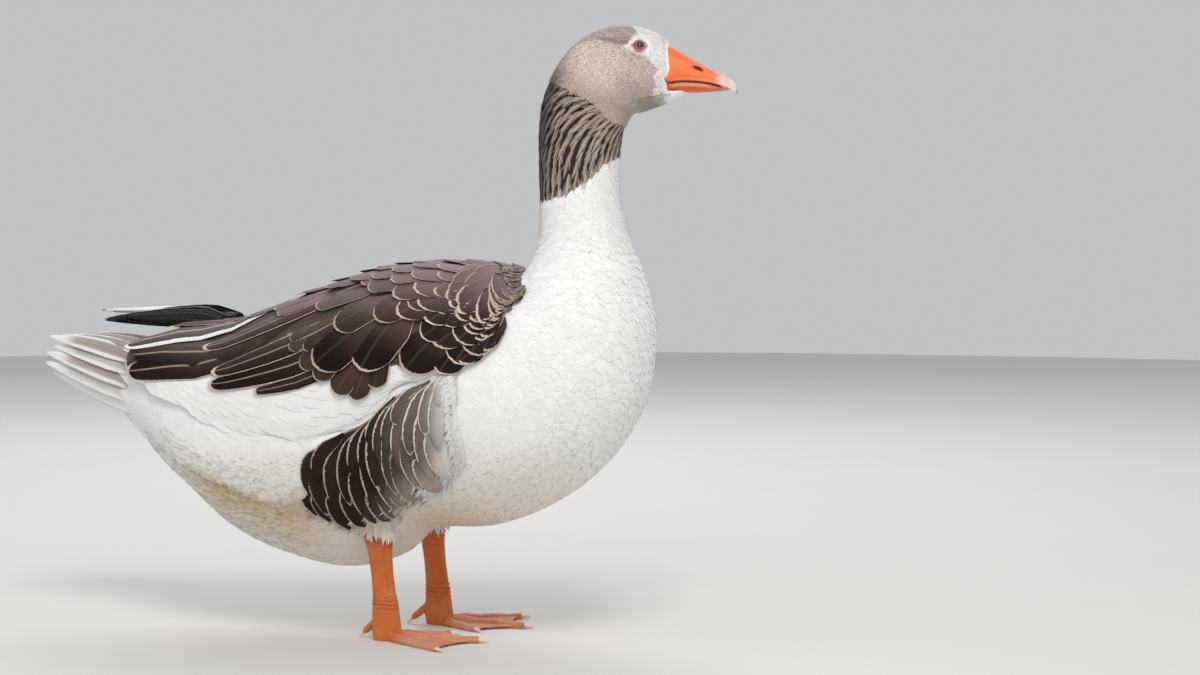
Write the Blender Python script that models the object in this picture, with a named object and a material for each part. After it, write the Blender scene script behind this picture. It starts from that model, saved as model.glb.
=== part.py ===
"""A domestic goose of the grey saddleback kind, standing, as a still life-size museum model.

The frame is in metres: +X is the way the body faces, +Y is the bird's left and +Z is up. The feet stand at
Z = 0. The body, neck and head are one skin of rings swept from the tail to the bill, which thin cuts part
into the named pieces. The wings and flanks are shells laid on that skin.
"""

from collections import namedtuple
from math import cos, pi, radians, sin

import bmesh
import bpy
from mathutils import Matrix, Vector

GAP = 0.0004  # left between neighbouring pieces
# shifts the drawing so that the middle of the whole bird is at X = 0, Y = 0, and lifts the body off the floor
SHIFT = Vector((0.0317, 0.0, 0.004))

# ---- the swept skin: each ring is held by its upper and lower point in the bird's own middle plane ----
Ring = namedtuple("Ring", "top_x top_z low_x low_z half_width keel")
RINGS = [
    # tail, from its tips
    Ring(-0.393, 0.289, -0.387, 0.254, 0.056, 2.2),
    Ring(-0.376, 0.291, -0.371, 0.242, 0.063, 2.2),
    Ring(-0.345, 0.289, -0.342, 0.227, 0.060, 2.1),
    Ring(-0.312, 0.286, -0.315, 0.206, 0.058, 2.0),
    # rump, paunch and back
    Ring(-0.280, 0.289, -0.285, 0.176, 0.066, 1.9),
    Ring(-0.240, 0.295, -0.245, 0.138, 0.081, 1.9),
    Ring(-0.185, 0.305, -0.190, 0.092, 0.098, 1.8),
    Ring(-0.125, 0.3255, -0.130, 0.067, 0.108, 1.7),
    Ring(-0.065, 0.344, -0.068, 0.057, 0.112, 1.6),
    Ring(-0.010, 0.3565, -0.008, 0.076, 0.113, 1.6),
    Ring(0.040, 0.360, 0.024, 0.102, 0.112, 1.8),
    # breast, fanning round the corner between back and neck
    Ring(0.078, 0.3605, 0.092, 0.109, 0.110, 2.0),
    Ring(0.104, 0.3605, 0.154, 0.134, 0.106, 2.1),
    Ring(0.119, 0.3605, 0.206, 0.176, 0.099, 2.15),
    Ring(0.127, 0.363, 0.241, 0.234, 0.090, 2.2),
    Ring(0.132, 0.3685, 0.250, 0.302, 0.079, 2.2),
    Ring(0.1365, 0.378, 0.2415, 0.352, 0.064, 2.2),
    # neck, upwards
    Ring(0.140, 0.395, 0.227, 0.392, 0.051, 2.2),
    Ring(0.140, 0.425, 0.2185, 0.425, 0.042, 2.2),
    Ring(0.138, 0.458, 0.217, 0.458, 0.0375, 2.2),
    Ring(0.1375, 0.492, 0.2195, 0.488, 0.036, 2.2),
    Ring(0.141, 0.526, 0.2245, 0.506, 0.035, 2.2),
    # head, from the nape to the root of the bill
    Ring(0.153, 0.556, 0.230, 0.5145, 0.0335, 2.2),
    Ring(0.173, 0.582, 0.2375, 0.5165, 0.0315, 2.2),
    Ring(0.197, 0.5965, 0.2455, 0.5185, 0.0295, 2.2),
    Ring(0.222, 0.600, 0.254, 0.5215, 0.0275, 2.2),
    Ring(0.2435, 0.597, 0.262, 0.5245, 0.0245, 2.2),
    Ring(0.2585, 0.590, 0.2685, 0.5275, 0.0215, 2.2),
    Ring(0.2655, 0.5840, 0.2725, 0.5305, 0.0190, 2.2),
]
BACK_FULLNESS = 2.2  # superellipse exponent of the upper half of every ring
RING_SIDES = 24
STEPS = 2  # rings made for each one in the table

# ---- the turn of the head ----
NECK_AXIS_X = 0.177
HEAD_TURN = radians(11.0)
TURN_FROM_Z, TURN_TO_Z = 0.40, 0.51

# ---- where the skin is parted: a point on each plane and its normal ----
TAIL_CUT = (Vector((-0.300, 0, 0.25)), Vector((-1, 0, 0)))
NECK_CUT = (Vector((0.185, 0, 0.359)), Vector((0.227, 0, 0.974)))
NAPE_CUT = (Vector((0.175, 0, 0.447)), Vector((0, 0, 1)))
HEAD_CUT = (Vector((0.183, 0, 0.5262)), Vector((0.22, 0, 0.9755)))

# ---- wings and flanks: where their edges run over the skin ----
WING_RINGS = (3.5, 13.3)  # from the tips of the longest covering feathers to the shoulder
WING_TOP = [(3, 30), (6, 14), (8, 8), (10, 6), (12, 9), (13.3, 32)]  # degrees down from the back, by ring
WING_LOW = [(3, 70), (5, 78), (6, 84), (7, 88), (8, 92), (9, 91), (10, 83), (11, 76), (12, 72), (13.3, 56)]
WING_BULGE, WING_BULGE_AT = 0.013, 0.62  # thickest nearer the back for a lower power
WING_FLAT, WING_FULL = 5.5, 10.0  # the bulge grows from nothing to full between these rings
WING_FREE = (5.0, 6.8)  # behind these rings the wing leaves the body
FLANK_RINGS = (7.9, 11.2)
FLANK_LOW = [(7.9, 124), (8.5, 137), (9.5, 141), (10.5, 133), (11.2, 112)]
FLANK_BULGE = 0.020
SHELL_SEAT, SHELL_EDGE = 0.0014, 0.0015  # a shell's height over the skin and its thickness at the edge
# the free end of the wing, by ring: x, then y and z of its upper and of its lower edge, for the left side
WingEnd = namedtuple("WingEnd", "ring x top_y top_z low_y low_z")
WING_END = [
    WingEnd(3.5, -0.301, 0.056, 0.276, 0.064, 0.254),
    WingEnd(4.0, -0.279, 0.044, 0.290, 0.075, 0.247),
    WingEnd(5.0, -0.240, 0.030, 0.303, 0.088, 0.235),
    WingEnd(6.0, -0.193, 0.024, 0.311, 0.101, 0.222),
    WingEnd(7.0, -0.140, 0.022, 0.324, 0.110, 0.212),
]
WING_END_BOW, WING_END_THICK = 0.012, 0.0035

# ---- bill, in the head's own frame: x forward from the neck's axis ----
BillRing = namedtuple("BillRing", "x top low half_width")
UPPER_BILL = [
    BillRing(0.0820, 0.5835, 0.5478, 0.0178),
    BillRing(0.0862, 0.5815, 0.5472, 0.0177),
    BillRing(0.0915, 0.5790, 0.5448, 0.0172),
    BillRing(0.1015, 0.5734, 0.5460, 0.0158),
    BillRing(0.1178, 0.5638, 0.5455, 0.0138),
    BillRing(0.1300, 0.5573, 0.5438, 0.0125),
    BillRing(0.1382, 0.5533, 0.5419, 0.0114),
    BillRing(0.1463, 0.5500, 0.5398, 0.0096),
    BillRing(0.1515, 0.5462, 0.5366, 0.0066),
    BillRing(0.1550, 0.5405, 0.5350, 0.0026),
]
LOWER_BILL = [
    BillRing(0.0820, 0.5466, 0.5362, 0.0153),
    BillRing(0.0862, 0.5460, 0.5358, 0.0152),
    BillRing(0.0915, 0.5441, 0.5353, 0.0150),
    BillRing(0.1015, 0.5453, 0.5350, 0.0142),
    BillRing(0.1178, 0.5448, 0.5352, 0.0126),
    BillRing(0.1300, 0.5431, 0.5358, 0.0110),
    BillRing(0.1400, 0.5406, 0.5366, 0.0085),
    BillRing(0.1465, 0.5388, 0.5372, 0.0040),
]
ROOT_RINGS, ROOT_GAP = 5, 0.0009  # the rings of both tables that the hole in the head follows, and its play
NAIL_FROM = 0.1415  # the bill's tip beyond here is the nail
NOSTRIL = Vector((0.1182, 0.0100, 0.5578))
NOSTRIL_SIZE = Vector((0.0050, 0.0034, 0.0022))  # half sizes
NOSTRIL_TILT = radians(24)

# ---- eyes ----
EYE_RING, EYE_ANGLE = 25.45, radians(61)  # place on the skin
EYE_RADIUS = 0.0088
EYE_DEPTH = 0.0052  # from the skin in to the ball's centre
LID_RADIUS, LID_THICK = 0.0074, 0.0017
LID_SIDES, LID_ROUND = 20, 6

# ---- legs: (height, fore-and-aft radius, sideways radius) ----
LEG_X, LEG_Y = {"right": -0.0065, "left": 0.002}, 0.056
LEG_LEAN = 0.11  # how far back the leg goes for each metre up
LEG_RINGS = [
    (0.0325, 0.0138, 0.0092),
    (0.046, 0.0122, 0.0082),
    (0.064, 0.0116, 0.0080),
    (0.084, 0.0124, 0.0088),
    (0.098, 0.0146, 0.0104),
    (0.110, 0.0154, 0.0112),
    (0.126, 0.0150, 0.0110),
    (0.138, 0.0130, 0.0100),
]
LEG_SIDES = 12

# ---- feet: each toe is (length to the claw, degrees outwards, base radius) ----
TOES = {"outer": (0.0900, 40, 0.0062), "middle": (0.0950, 0, 0.0068), "inner": (0.0670, -33, 0.0060)}
FOOT_TURN = {"right": -7, "left": 0}  # degrees outwards
TOE_TAPER = 0.42
CLAW_LENGTH, CLAW_SHARE, CLAW_LIFT = 0.0105, 0.62, 0.0006
HIND_CLAW_LENGTH = 0.0088
WEB_LOW, WEB_TOP = 0.0012, 0.0036
WEB_NOTCH = 0.80  # how deep the web's edge curves in between two toes
# (height, fore-and-aft radius, sideways radius); the first is trimmed level with the floor
HUB_RINGS = [
    (-0.002, 0.0140, 0.0110),
    (0.008, 0.0155, 0.0120),
    (0.018, 0.0148, 0.0106),
    (0.032, 0.0138, 0.0092),
]
HUB_FORWARD, HUB_LEAN = 0.002, 0.06
# the hind toe slants down until its claw stands on the floor
HALLUX_ROOT, HALLUX_TIP = Vector((-0.008, 0.004, 0.020)), Vector((-0.0250, 0.008, 0.0056))
HALLUX_RADIUS = 0.0034

# ---- the bundle of long feathers past each wing, as (x, y, z, half width, half thickness) ----
PRIMARIES = [
    (-0.226, 0.0150, 0.3070, 0.0125, 0.0032),
    (-0.255, 0.0165, 0.3080, 0.0135, 0.0030),
    (-0.300, 0.0165, 0.3080, 0.0125, 0.0022),
    (-0.352, 0.0125, 0.3085, 0.0035, 0.0009),
]
PRIMARY_TILT = radians(30)

WHITE = (0.86, 0.84, 0.80)
BROWN, GREY_BROWN, FLANK_BROWN = (0.095, 0.065, 0.048), (0.30, 0.245, 0.205), (0.16, 0.12, 0.095)
ORANGE, LEG_ORANGE = (0.86, 0.23, 0.05), (0.83, 0.22, 0.06)
NAIL_PINK, CLAW_GREY = (0.78, 0.47, 0.38), (0.62, 0.55, 0.50)
EYE_BLUE, BLACK = (0.05, 0.11, 0.20), (0.015, 0.013, 0.016)


def between(values, place):
    """A smooth curve through evenly spaced values, read at place (Catmull-Rom)."""
    i = min(max(int(place), 0), len(values) - 2)
    t = place - i
    a, b, c, d = (values[min(max(i + k, 0), len(values) - 1)] for k in (-1, 0, 1, 2))
    return 0.5 * (2 * b + (c - a) * t + (2 * a - 5 * b + 4 * c - d) * t**2 + (3 * b - a - 3 * c + d) * t**3)


def line(points, x):
    """Straight interpolation in a short list of (x, value)."""
    for (x0, y0), (x1, y1) in zip(points, points[1:]):
        if x <= x1:
            return y0 + (y1 - y0) * (max(x, x0) - x0) / (x1 - x0)
    return points[-1][1]


def smooth(value):
    t = min(max(value, 0.0), 1.0)
    return t * t * (3 - 2 * t)


def signed_power(value, power):
    return abs(value) ** power * (1 if value >= 0 else -1)


def turned(p):
    """Turns a point of the neck or head with the head, and centres the whole bird."""
    share = smooth((p.z - TURN_FROM_Z) / (TURN_TO_Z - TURN_FROM_Z)) if p.x > NECK_AXIS_X - 0.06 else 0.0
    axis = Vector((NECK_AXIS_X, 0, 0))
    q = Matrix.Rotation(HEAD_TURN * share, 4, "Z") @ (p - axis) + axis
    return q + SHIFT


def skin_point(ring, angle):
    """The skin at a ring (a place in RINGS) and an angle: 0 on the back, pi/2 on the left side, pi below."""
    r = Ring(*(between(column, ring) for column in zip(*RINGS)))
    top, low = Vector((r.top_x, 0, r.top_z)), Vector((r.low_x, 0, r.low_z))
    power = 2 / (BACK_FULLNESS if cos(angle) >= 0 else r.keel)
    up = signed_power(cos(angle), power)
    side = signed_power(sin(angle), power)
    return turned((top + low) / 2 + (top - low) / 2 * up + Vector((0, r.half_width * side, 0)))


def skin_normal(ring, angle):
    """Outward normal of the skin, from small steps over it."""
    step = 0.02
    along = skin_point(ring + step, angle) - skin_point(ring - step, angle)
    around = skin_point(ring, angle + step) - skin_point(ring, angle - step)
    return along.cross(around).normalized()


def material(name, colour, roughness=0.6, metallic=0.0):
    """One Principled material for each named finish."""
    made = bpy.data.materials.get(name) or bpy.data.materials.new(name)
    made.use_nodes = True
    shader = made.node_tree.nodes["Principled BSDF"]
    shader.inputs["Base Color"].default_value = (*colour, 1)
    shader.inputs["Roughness"].default_value = roughness
    shader.inputs["Metallic"].default_value = metallic
    made.diffuse_color = (*colour, 1)
    return made


def add(name, bm, finish, helper=False):
    """Puts a mesh in the scene as one named piece. A helper only cuts others."""
    bmesh.ops.recalc_face_normals(bm, faces=bm.faces)
    mesh = bpy.data.meshes.new(name)
    bm.to_mesh(mesh)
    bm.free()
    mesh.shade_smooth()
    mesh.set_sharp_from_angle(angle=radians(50))
    piece = bpy.data.objects.new(name, mesh)
    bpy.context.scene.collection.objects.link(piece)
    if helper:
        piece.hide_render = True
        piece.display_type = "WIRE"
    else:
        mesh.materials.append(finish)
    return piece


def boolean(piece, other, operation="DIFFERENCE"):
    cut = piece.modifiers.new(operation.title(), "BOOLEAN")
    cut.operation = operation
    cut.object = other
    cut.solver = "EXACT"


def loft(rings):
    """A closed mesh through rings of points, with flat ends."""
    bm = bmesh.new()
    loops = [[bm.verts.new(p) for p in ring] for ring in rings]
    for a, b in zip(loops, loops[1:]):
        for i in range(len(a)):
            j = (i + 1) % len(a)
            bm.faces.new((a[i], a[j], b[j], b[i]))
    bm.faces.new(loops[0])
    bm.faces.new(loops[-1])
    return bm


def part_off(bm, cut, keep_above):
    """Cuts a closed mesh at a plane, keeps one side, less half the gap, and closes it."""
    point, normal = cut
    normal = normal.normalized()
    point = point + SHIFT + normal * (GAP / 2 if keep_above else -GAP / 2)
    geometry = bm.verts[:] + bm.edges[:] + bm.faces[:]
    bmesh.ops.bisect_plane(
        bm, geom=geometry, plane_co=point, plane_no=normal, clear_inner=keep_above, clear_outer=not keep_above
    )
    bmesh.ops.holes_fill(bm, edges=[e for e in bm.edges if e.is_boundary])


def whole_skin():
    """The bird from tail to bill as one closed mesh, without wings and legs."""
    places = [i / STEPS for i in range((len(RINGS) - 1) * STEPS + 1)]
    angles = [2 * pi * i / RING_SIDES for i in range(RING_SIDES)]
    return loft([[skin_point(place, angle) for angle in angles] for place in places])


def body_pieces():
    """Tail, trunk, two lengths of neck and the head, parted from the skin by planes."""
    white, grey = material("white_feather", WHITE), material("grey_feather", GREY_BROWN)
    above, below = True, False
    parted = {
        "tail": (white, [(TAIL_CUT, above)]),
        "trunk": (white, [(TAIL_CUT, below), (NECK_CUT, below)]),
        "neck_lower": (white, [(NECK_CUT, above), (NAPE_CUT, below)]),
        "neck_upper": (grey, [(NAPE_CUT, above), (HEAD_CUT, below)]),
        "head": (grey, [(HEAD_CUT, above)]),
    }
    pieces = {}
    for name, (finish, cuts) in parted.items():
        bm = whole_skin()
        for cut, side in cuts:
            part_off(bm, cut, side)
        pieces[name] = add(name, bm, finish)
    return pieces


def shell(place, along, down, side):
    """A closed shell from place(u, v, lift), which gives its inner (lift 0) and outer (lift 1) sheet."""
    bm = bmesh.new()
    sheets = []
    for lift in (0, 1):
        rows = [[place(i / along, j / down, lift, side) for j in range(down + 1)] for i in range(along + 1)]
        sheets.append([[bm.verts.new(p) for p in row] for row in rows])
    for sheet in sheets:
        for a, b in zip(sheet, sheet[1:]):
            for j in range(down):
                bm.faces.new((a[j], a[j + 1], b[j + 1], b[j]))
    bmesh.ops.bridge_loops(bm, edges=[e for e in bm.edges if e.is_boundary])
    return bm


def swell(u, v, power=1.0):
    """Nothing at the edges of a shell and 1 in its middle."""
    return max(sin(pi * u) * sin(pi * v**power), 0.0) ** 0.6


def on_skin(ring, angle, height):
    return skin_point(ring, angle) + skin_normal(ring, angle) * height


def wing_place(u, v, lift, side):
    """The folded wing: laid on the body at the shoulder, free of it past the rump."""
    ring = WING_RINGS[0] + (WING_RINGS[1] - WING_RINGS[0]) * u
    angle = radians(line(WING_TOP, ring) + (line(WING_LOW, ring) - line(WING_TOP, ring)) * v) * side
    bulge = WING_BULGE * (0.35 + 0.65 * smooth((ring - WING_FLAT) / (WING_FULL - WING_FLAT)))
    laid = on_skin(ring, angle, SHELL_SEAT + lift * (SHELL_EDGE + bulge * swell(u, v, WING_BULGE_AT)))
    if ring >= WING_FREE[1]:
        return laid
    x, top_y, top_z, low_y, low_z = (
        line([(end.ring, end[k]) for end in WING_END], ring) for k in range(1, 6)
    )
    bow = Vector((0, low_z - top_z, top_y - low_y)).normalized() * -1
    free = Vector((x, top_y, top_z)).lerp(Vector((x, low_y, low_z)), v) + bow * WING_END_BOW * sin(pi * v)
    thick = SHELL_EDGE + WING_END_THICK * swell(0.5, v) * min(1.0, (ring - WING_RINGS[0]) + 0.35)
    free += bow * lift * thick
    free = Vector((free.x, free.y * side, free.z)) + SHIFT
    return laid.lerp(free, smooth((WING_FREE[1] - ring) / (WING_FREE[1] - WING_FREE[0])))


def flank_place(u, v, lift, side):
    """The barred flank: its upper edge runs just under the wing's lower edge."""
    ring = FLANK_RINGS[0] + (FLANK_RINGS[1] - FLANK_RINGS[0]) * u
    top = line(WING_LOW, ring) + 1.3
    angle = radians(top + (line(FLANK_LOW, ring) - top) * v) * side
    return on_skin(ring, angle, SHELL_SEAT + lift * (SHELL_EDGE + FLANK_BULGE * swell(u, v)))


def blade(stations, tilt, side, rise):
    """A long flat bundle of wing feathers, lens-shaped across. rise lifts it past its neighbour."""
    rings = []
    for x, y, z, half_width, half_thick in stations:
        across = Vector((0, cos(tilt), -sin(tilt)))
        up = Vector((0, sin(tilt), cos(tilt)))
        centre = Vector((x, y, z + rise))
        turns = (2 * pi * k / 10 for k in range(10))
        ring = (centre + across * half_width * cos(a) + up * half_thick * sin(a) for a in turns)
        rings.append([Vector((p.x, p.y * side, p.z)) + SHIFT for p in ring])
    return loft(rings)


def in_head(x, y, z):
    """From the head's own frame to the bird's."""
    return turned(Vector((NECK_AXIS_X + x, y, z)))


def bill_half(stations, roof):
    """One half of the bill: an arch over a flat bed (roof), or its mirror below."""
    rings = []
    for s in stations:
        ring = []
        for k in range(13):
            a = pi * k / 12
            height = max(sin(a), 0.0) ** 0.8
            z = s.low + (s.top - s.low) * height if roof else s.top - (s.top - s.low) * height
            ring.append(in_head(s.x, s.half_width * signed_power(cos(a), 0.9), z))
        for k in range(1, 4):
            ring.append(in_head(s.x, s.half_width * (-1 + k / 2), s.low if roof else s.top))
        rings.append(ring)
    return loft(rings)


def bill_root():
    """The hole in the head that both halves of the bill grow out of, a little larger than they are."""
    rings = []
    for upper, lower in zip(UPPER_BILL[:ROOT_RINGS], LOWER_BILL[:ROOT_RINGS]):
        middle = (upper.low + lower.top) / 2
        ring = []
        for k in range(24):
            a = 2 * pi * (k + 0.5) / 24
            reach = (upper.top - middle if sin(a) > 0 else middle - lower.low) + ROOT_GAP
            z = middle + reach * signed_power(sin(a), 0.8)
            half_width = (upper.half_width + ROOT_GAP) * signed_power(cos(a), 0.9)
            ring.append(in_head(upper.x - ROOT_GAP, half_width, z))
        rings.append(ring)
    return loft(rings)


def bill(head):
    """Upper bill with its nostrils, the nail at its tip, and the lower bill, all let into the head."""
    orange, pink = material("bill", ORANGE, 0.35), material("nail", NAIL_PINK, 0.3)
    boolean(head, add("bill_root_cutter", bill_root(), None, helper=True))
    axis = Vector((NECK_AXIS_X, 0, 0))
    forward = Matrix.Rotation(HEAD_TURN, 4, "Z") @ Vector((1, 0, 0))
    nail_cut = (axis + forward * NAIL_FROM, forward)
    upper = bill_half(UPPER_BILL, True)
    part_off(upper, nail_cut, False)
    upper = add("bill_upper", upper, orange)
    for side in (1, -1):
        bm = bmesh.new()
        bmesh.ops.create_uvsphere(bm, u_segments=12, v_segments=8, radius=1.0)
        place = Matrix.Translation(in_head(NOSTRIL.x, NOSTRIL.y * side, NOSTRIL.z))
        turn = Matrix.Rotation(HEAD_TURN, 4, "Z") @ Matrix.Rotation(NOSTRIL_TILT, 4, "Y")
        bmesh.ops.transform(bm, matrix=place @ turn @ Matrix.Diagonal((*NOSTRIL_SIZE, 1)), verts=bm.verts)
        boolean(upper, add(f"nostril_cutter_{side}", bm, None, helper=True))
    nail = bill_half(UPPER_BILL, True)
    part_off(nail, nail_cut, True)
    add("bill_nail", nail, pink)
    add("bill_lower", bill_half(LOWER_BILL, False), orange)


def ball(centre, radius, segments=14):
    bm = bmesh.new()
    bmesh.ops.create_uvsphere(bm, u_segments=segments, v_segments=segments // 2 + 2, radius=radius)
    bmesh.ops.translate(bm, vec=centre, verts=bm.verts)
    return bm


def lid_ring(centre, outward, minor):
    """A thin ring round the eye."""
    turn = outward.to_track_quat("Z", "Y").to_matrix().to_4x4()
    rings = []
    for i in range(LID_SIDES):
        a = 2 * pi * i / LID_SIDES
        spoke = Vector((cos(a), sin(a), 0))
        rings.append(
            [
                centre + turn @ (spoke * (LID_RADIUS + minor * cos(b)) + Vector((0, 0, minor * sin(b))))
                for b in (2 * pi * k / LID_ROUND for k in range(LID_ROUND))
            ]
        )
    bm = bmesh.new()
    loops = [[bm.verts.new(p) for p in ring] for ring in rings]
    for a, b in zip(loops, loops[1:] + loops[:1]):
        for k in range(LID_ROUND):
            bm.faces.new((a[k], a[(k + 1) % LID_ROUND], b[(k + 1) % LID_ROUND], b[k]))
    return bm


def eyes(head):
    """Eyeballs set in sockets of the head, each with its orange lid."""
    for side, name in ((1, "left"), (-1, "right")):
        surface = skin_point(EYE_RING, EYE_ANGLE * side)
        outward = skin_normal(EYE_RING, EYE_ANGLE * side)
        centre = surface - outward * EYE_DEPTH
        lid_at = surface + outward * 0.0002
        socket = add(f"socket_{name}", ball(centre, EYE_RADIUS + GAP), None, helper=True)
        groove = lid_ring(lid_at, outward, LID_THICK + GAP)
        groove = add(f"groove_{name}", groove, None, helper=True)
        lid = add(f"eyelid_{name}", lid_ring(lid_at, outward, LID_THICK), material("lid", ORANGE, 0.5))
        add(f"eye_{name}", ball(centre, EYE_RADIUS), material("eye", EYE_BLUE, 0.05))
        boolean(lid, socket)
        boolean(head, socket)
        boolean(head, groove)


def oval(centre, fore, across, sides, forward=Vector((1, 0, 0))):
    """A level oval ring of points."""
    left = Vector((0, 0, 1)).cross(forward)
    turns = (2 * pi * k / sides for k in range(sides))
    return [centre + forward * fore * cos(a) + left * across * sin(a) for a in turns]


def leg_rings(side, grow=0.0):
    name = "left" if side > 0 else "right"
    base = Vector((LEG_X[name] + SHIFT.x, LEG_Y * side + SHIFT.y, 0))
    low = LEG_RINGS[0][0]
    return [
        oval(base + Vector((-(z - low) * LEG_LEAN, 0, z)), fore + grow, across + grow, LEG_SIDES)
        for z, fore, across in LEG_RINGS
    ]


def toe(length, degrees, radius, side):
    """A tapering toe with a bulge at each joint, reaching below the floor, where it is trimmed later."""
    heading = radians(degrees * side)
    forward = Vector((cos(heading), sin(heading), 0))
    left = Vector((-sin(heading), cos(heading), 0))
    rings = []
    for k in range(7):
        t = k / 6
        swell = 1 + 0.09 * cos(2 * pi * t * 3)
        r = radius * (1 - TOE_TAPER * t) * swell
        centre = forward * length * t + Vector((0, 0, r * 0.55))
        turns = (2 * pi * i / 8 for i in range(8))
        rings.append([centre + left * r * cos(a) + Vector((0, 0, r * 1.15 * sin(a))) for a in turns])
    return loft(rings)


def web(side):
    """The skin between the three front toes, with a curved edge from claw to claw."""
    tips = []
    for length, degrees, _ in (TOES["outer"], TOES["middle"], TOES["inner"]):
        heading = radians(degrees * side)
        tips.append(Vector((cos(heading), sin(heading), 0)) * (length - 0.002))
    edge = [Vector((-0.004, 0, 0))]
    for a, b in zip(tips, tips[1:]):
        middle = (a + b) / 2 * WEB_NOTCH
        for k in range(6):
            t = k / 5
            edge.append(a * (1 - t) ** 2 + middle * 2 * t * (1 - t) + b * t**2)
    edge = [p for i, p in enumerate(edge) if i == 0 or (p - edge[i - 1]).length > 1e-5]
    bm = bmesh.new()
    face = bm.faces.new([bm.verts.new(p + Vector((0, 0, WEB_LOW))) for p in edge])
    raised = bmesh.ops.extrude_face_region(bm, geom=[face])["geom"]
    up = Vector((0, 0, WEB_TOP - WEB_LOW))
    bmesh.ops.translate(bm, vec=up, verts=[v for v in raised if isinstance(v, bmesh.types.BMVert)])
    return bm


def hallux(side):
    """The short hind toe, just clear of the floor itself."""
    root, tip = (Vector((p.x, p.y * -side, p.z)) for p in (HALLUX_ROOT, HALLUX_TIP))
    along = (tip - root).normalized()
    left = Vector((0, 1, 0))
    up = along.cross(left).normalized()
    rings = []
    for t, share in ((0, 1.3), (0.5, 1.15), (0.9, 1.0), (1, 0.65)):
        r = HALLUX_RADIUS * share
        centre = root.lerp(tip, t)
        turns = (2 * pi * i / 8 for i in range(8))
        rings.append([centre + left * r * cos(a) + up * r * sin(a) for a in turns])
    return loft(rings)


def hub():
    """The joint where the toes meet the leg."""
    return loft(
        [
            oval(Vector((HUB_FORWARD - z * HUB_LEAN, 0, z)), fore, across, LEG_SIDES)
            for z, fore, across in HUB_RINGS
        ]
    )


def foot(side):
    """A webbed foot in one piece with its toes, flat underneath, and its four claws."""
    name = "left" if side > 0 else "right"
    skin = material("leg_skin", LEG_ORANGE, 0.5)
    horn = material("claw", CLAW_GREY, 0.4)
    turn = Matrix.Rotation(radians(FOOT_TURN[name] * side), 4, "Z")
    place = Matrix.Translation((LEG_X[name] + SHIFT.x, LEG_Y * side + SHIFT.y, 0)) @ turn
    floor = bmesh.new()
    bmesh.ops.create_cube(floor, size=0.4, matrix=Matrix.Translation((0, 0, -0.2)))
    piece = add(f"foot_{name}", placed(hub(), place), skin)
    for i, shape in enumerate([toe(*sizes, side) for sizes in TOES.values()] + [web(side), hallux(side)]):
        boolean(piece, add(f"foot_shape_{name}_{i}", placed(shape, place), None, helper=True), "UNION")
    floor = add(f"floor_{name}", placed(floor, place), None, helper=True)
    boolean(piece, floor)
    for toe_name, (length, degrees, radius) in TOES.items():
        heading = radians(degrees * side)
        forward = Vector((cos(heading), sin(heading), 0))
        tip_radius = radius * (1 - TOE_TAPER) * CLAW_SHARE
        start = forward * (length + GAP) + Vector((0, 0, tip_radius + CLAW_LIFT))
        add(f"claw_{toe_name}_{name}", placed(claw(start, forward, tip_radius, CLAW_LENGTH), place), horn)
    root, tip = (Vector((p.x, p.y * -side, p.z)) for p in (HALLUX_ROOT, HALLUX_TIP))
    along = (tip - root).normalized()
    hind = claw(tip + along * GAP, along, HALLUX_RADIUS * 0.5, HIND_CLAW_LENGTH)
    boolean(add(f"claw_hind_{name}", placed(hind, place), horn), floor)


def placed(bm, matrix):
    bmesh.ops.transform(bm, matrix=matrix, verts=bm.verts)
    return bm


def claw(start, along, radius, length):
    """A blunt claw that keeps its lower edge level as it thins to a point."""
    left = Vector((0, 0, 1)).cross(along).normalized()
    up = along.cross(left)
    rings = []
    for t, share in ((0, 1.0), (0.35, 0.92), (0.7, 0.62), (1, 0.18)):
        r = radius * share
        centre = start + along * length * t - up * (radius - r) * 0.7
        turns = (2 * pi * i / 8 for i in range(8))
        rings.append([centre + left * r * cos(a) + up * r * sin(a) for a in turns])
    return loft(rings)


def legs(trunk, flanks):
    """Both shanks, let into the trunk and flanks, and the feet under them."""
    skin = material("leg_skin", LEG_ORANGE, 0.5)
    for side, name in ((1, "left"), (-1, "right")):
        add(f"leg_{name}", loft(leg_rings(side)), skin)
        cutter = add(f"leg_socket_{name}", loft(leg_rings(side, GAP)), None, helper=True)
        boolean(trunk, cutter)
        boolean(flanks[side], cutter)
        foot(side)


def main():
    for old in list(bpy.data.objects):
        bpy.data.objects.remove(old)
    pieces = body_pieces()
    saddle, barred = material("saddle", BROWN), material("flank", FLANK_BROWN)
    flanks = {}
    for side, rise in ((1, 0.005), (-1, 0.0)):
        name = "left" if side > 0 else "right"
        add(f"wing_{name}", shell(wing_place, 18, 7, side), saddle)
        flanks[side] = add(f"flank_{name}", shell(flank_place, 12, 6, side), barred)
        add(f"primaries_{name}", blade(PRIMARIES, PRIMARY_TILT, side, rise), material("primary", BLACK))
    bill(pieces["head"])
    eyes(pieces["head"])
    legs(pieces["trunk"], flanks)


main()
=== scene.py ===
"""Looks of the standing domestic goose: one skin, its plumage, bill, eyes, legs and feet, and a plain studio.

Metres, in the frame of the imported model: +X is the way the body faces, +Y is the bird's left, +Z is up.
The skin is the swept form of the solids, sunk by the depth of the coat, and every feather is laid on it.
"""

from collections import namedtuple
from math import cos, pi, radians, sin

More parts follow.
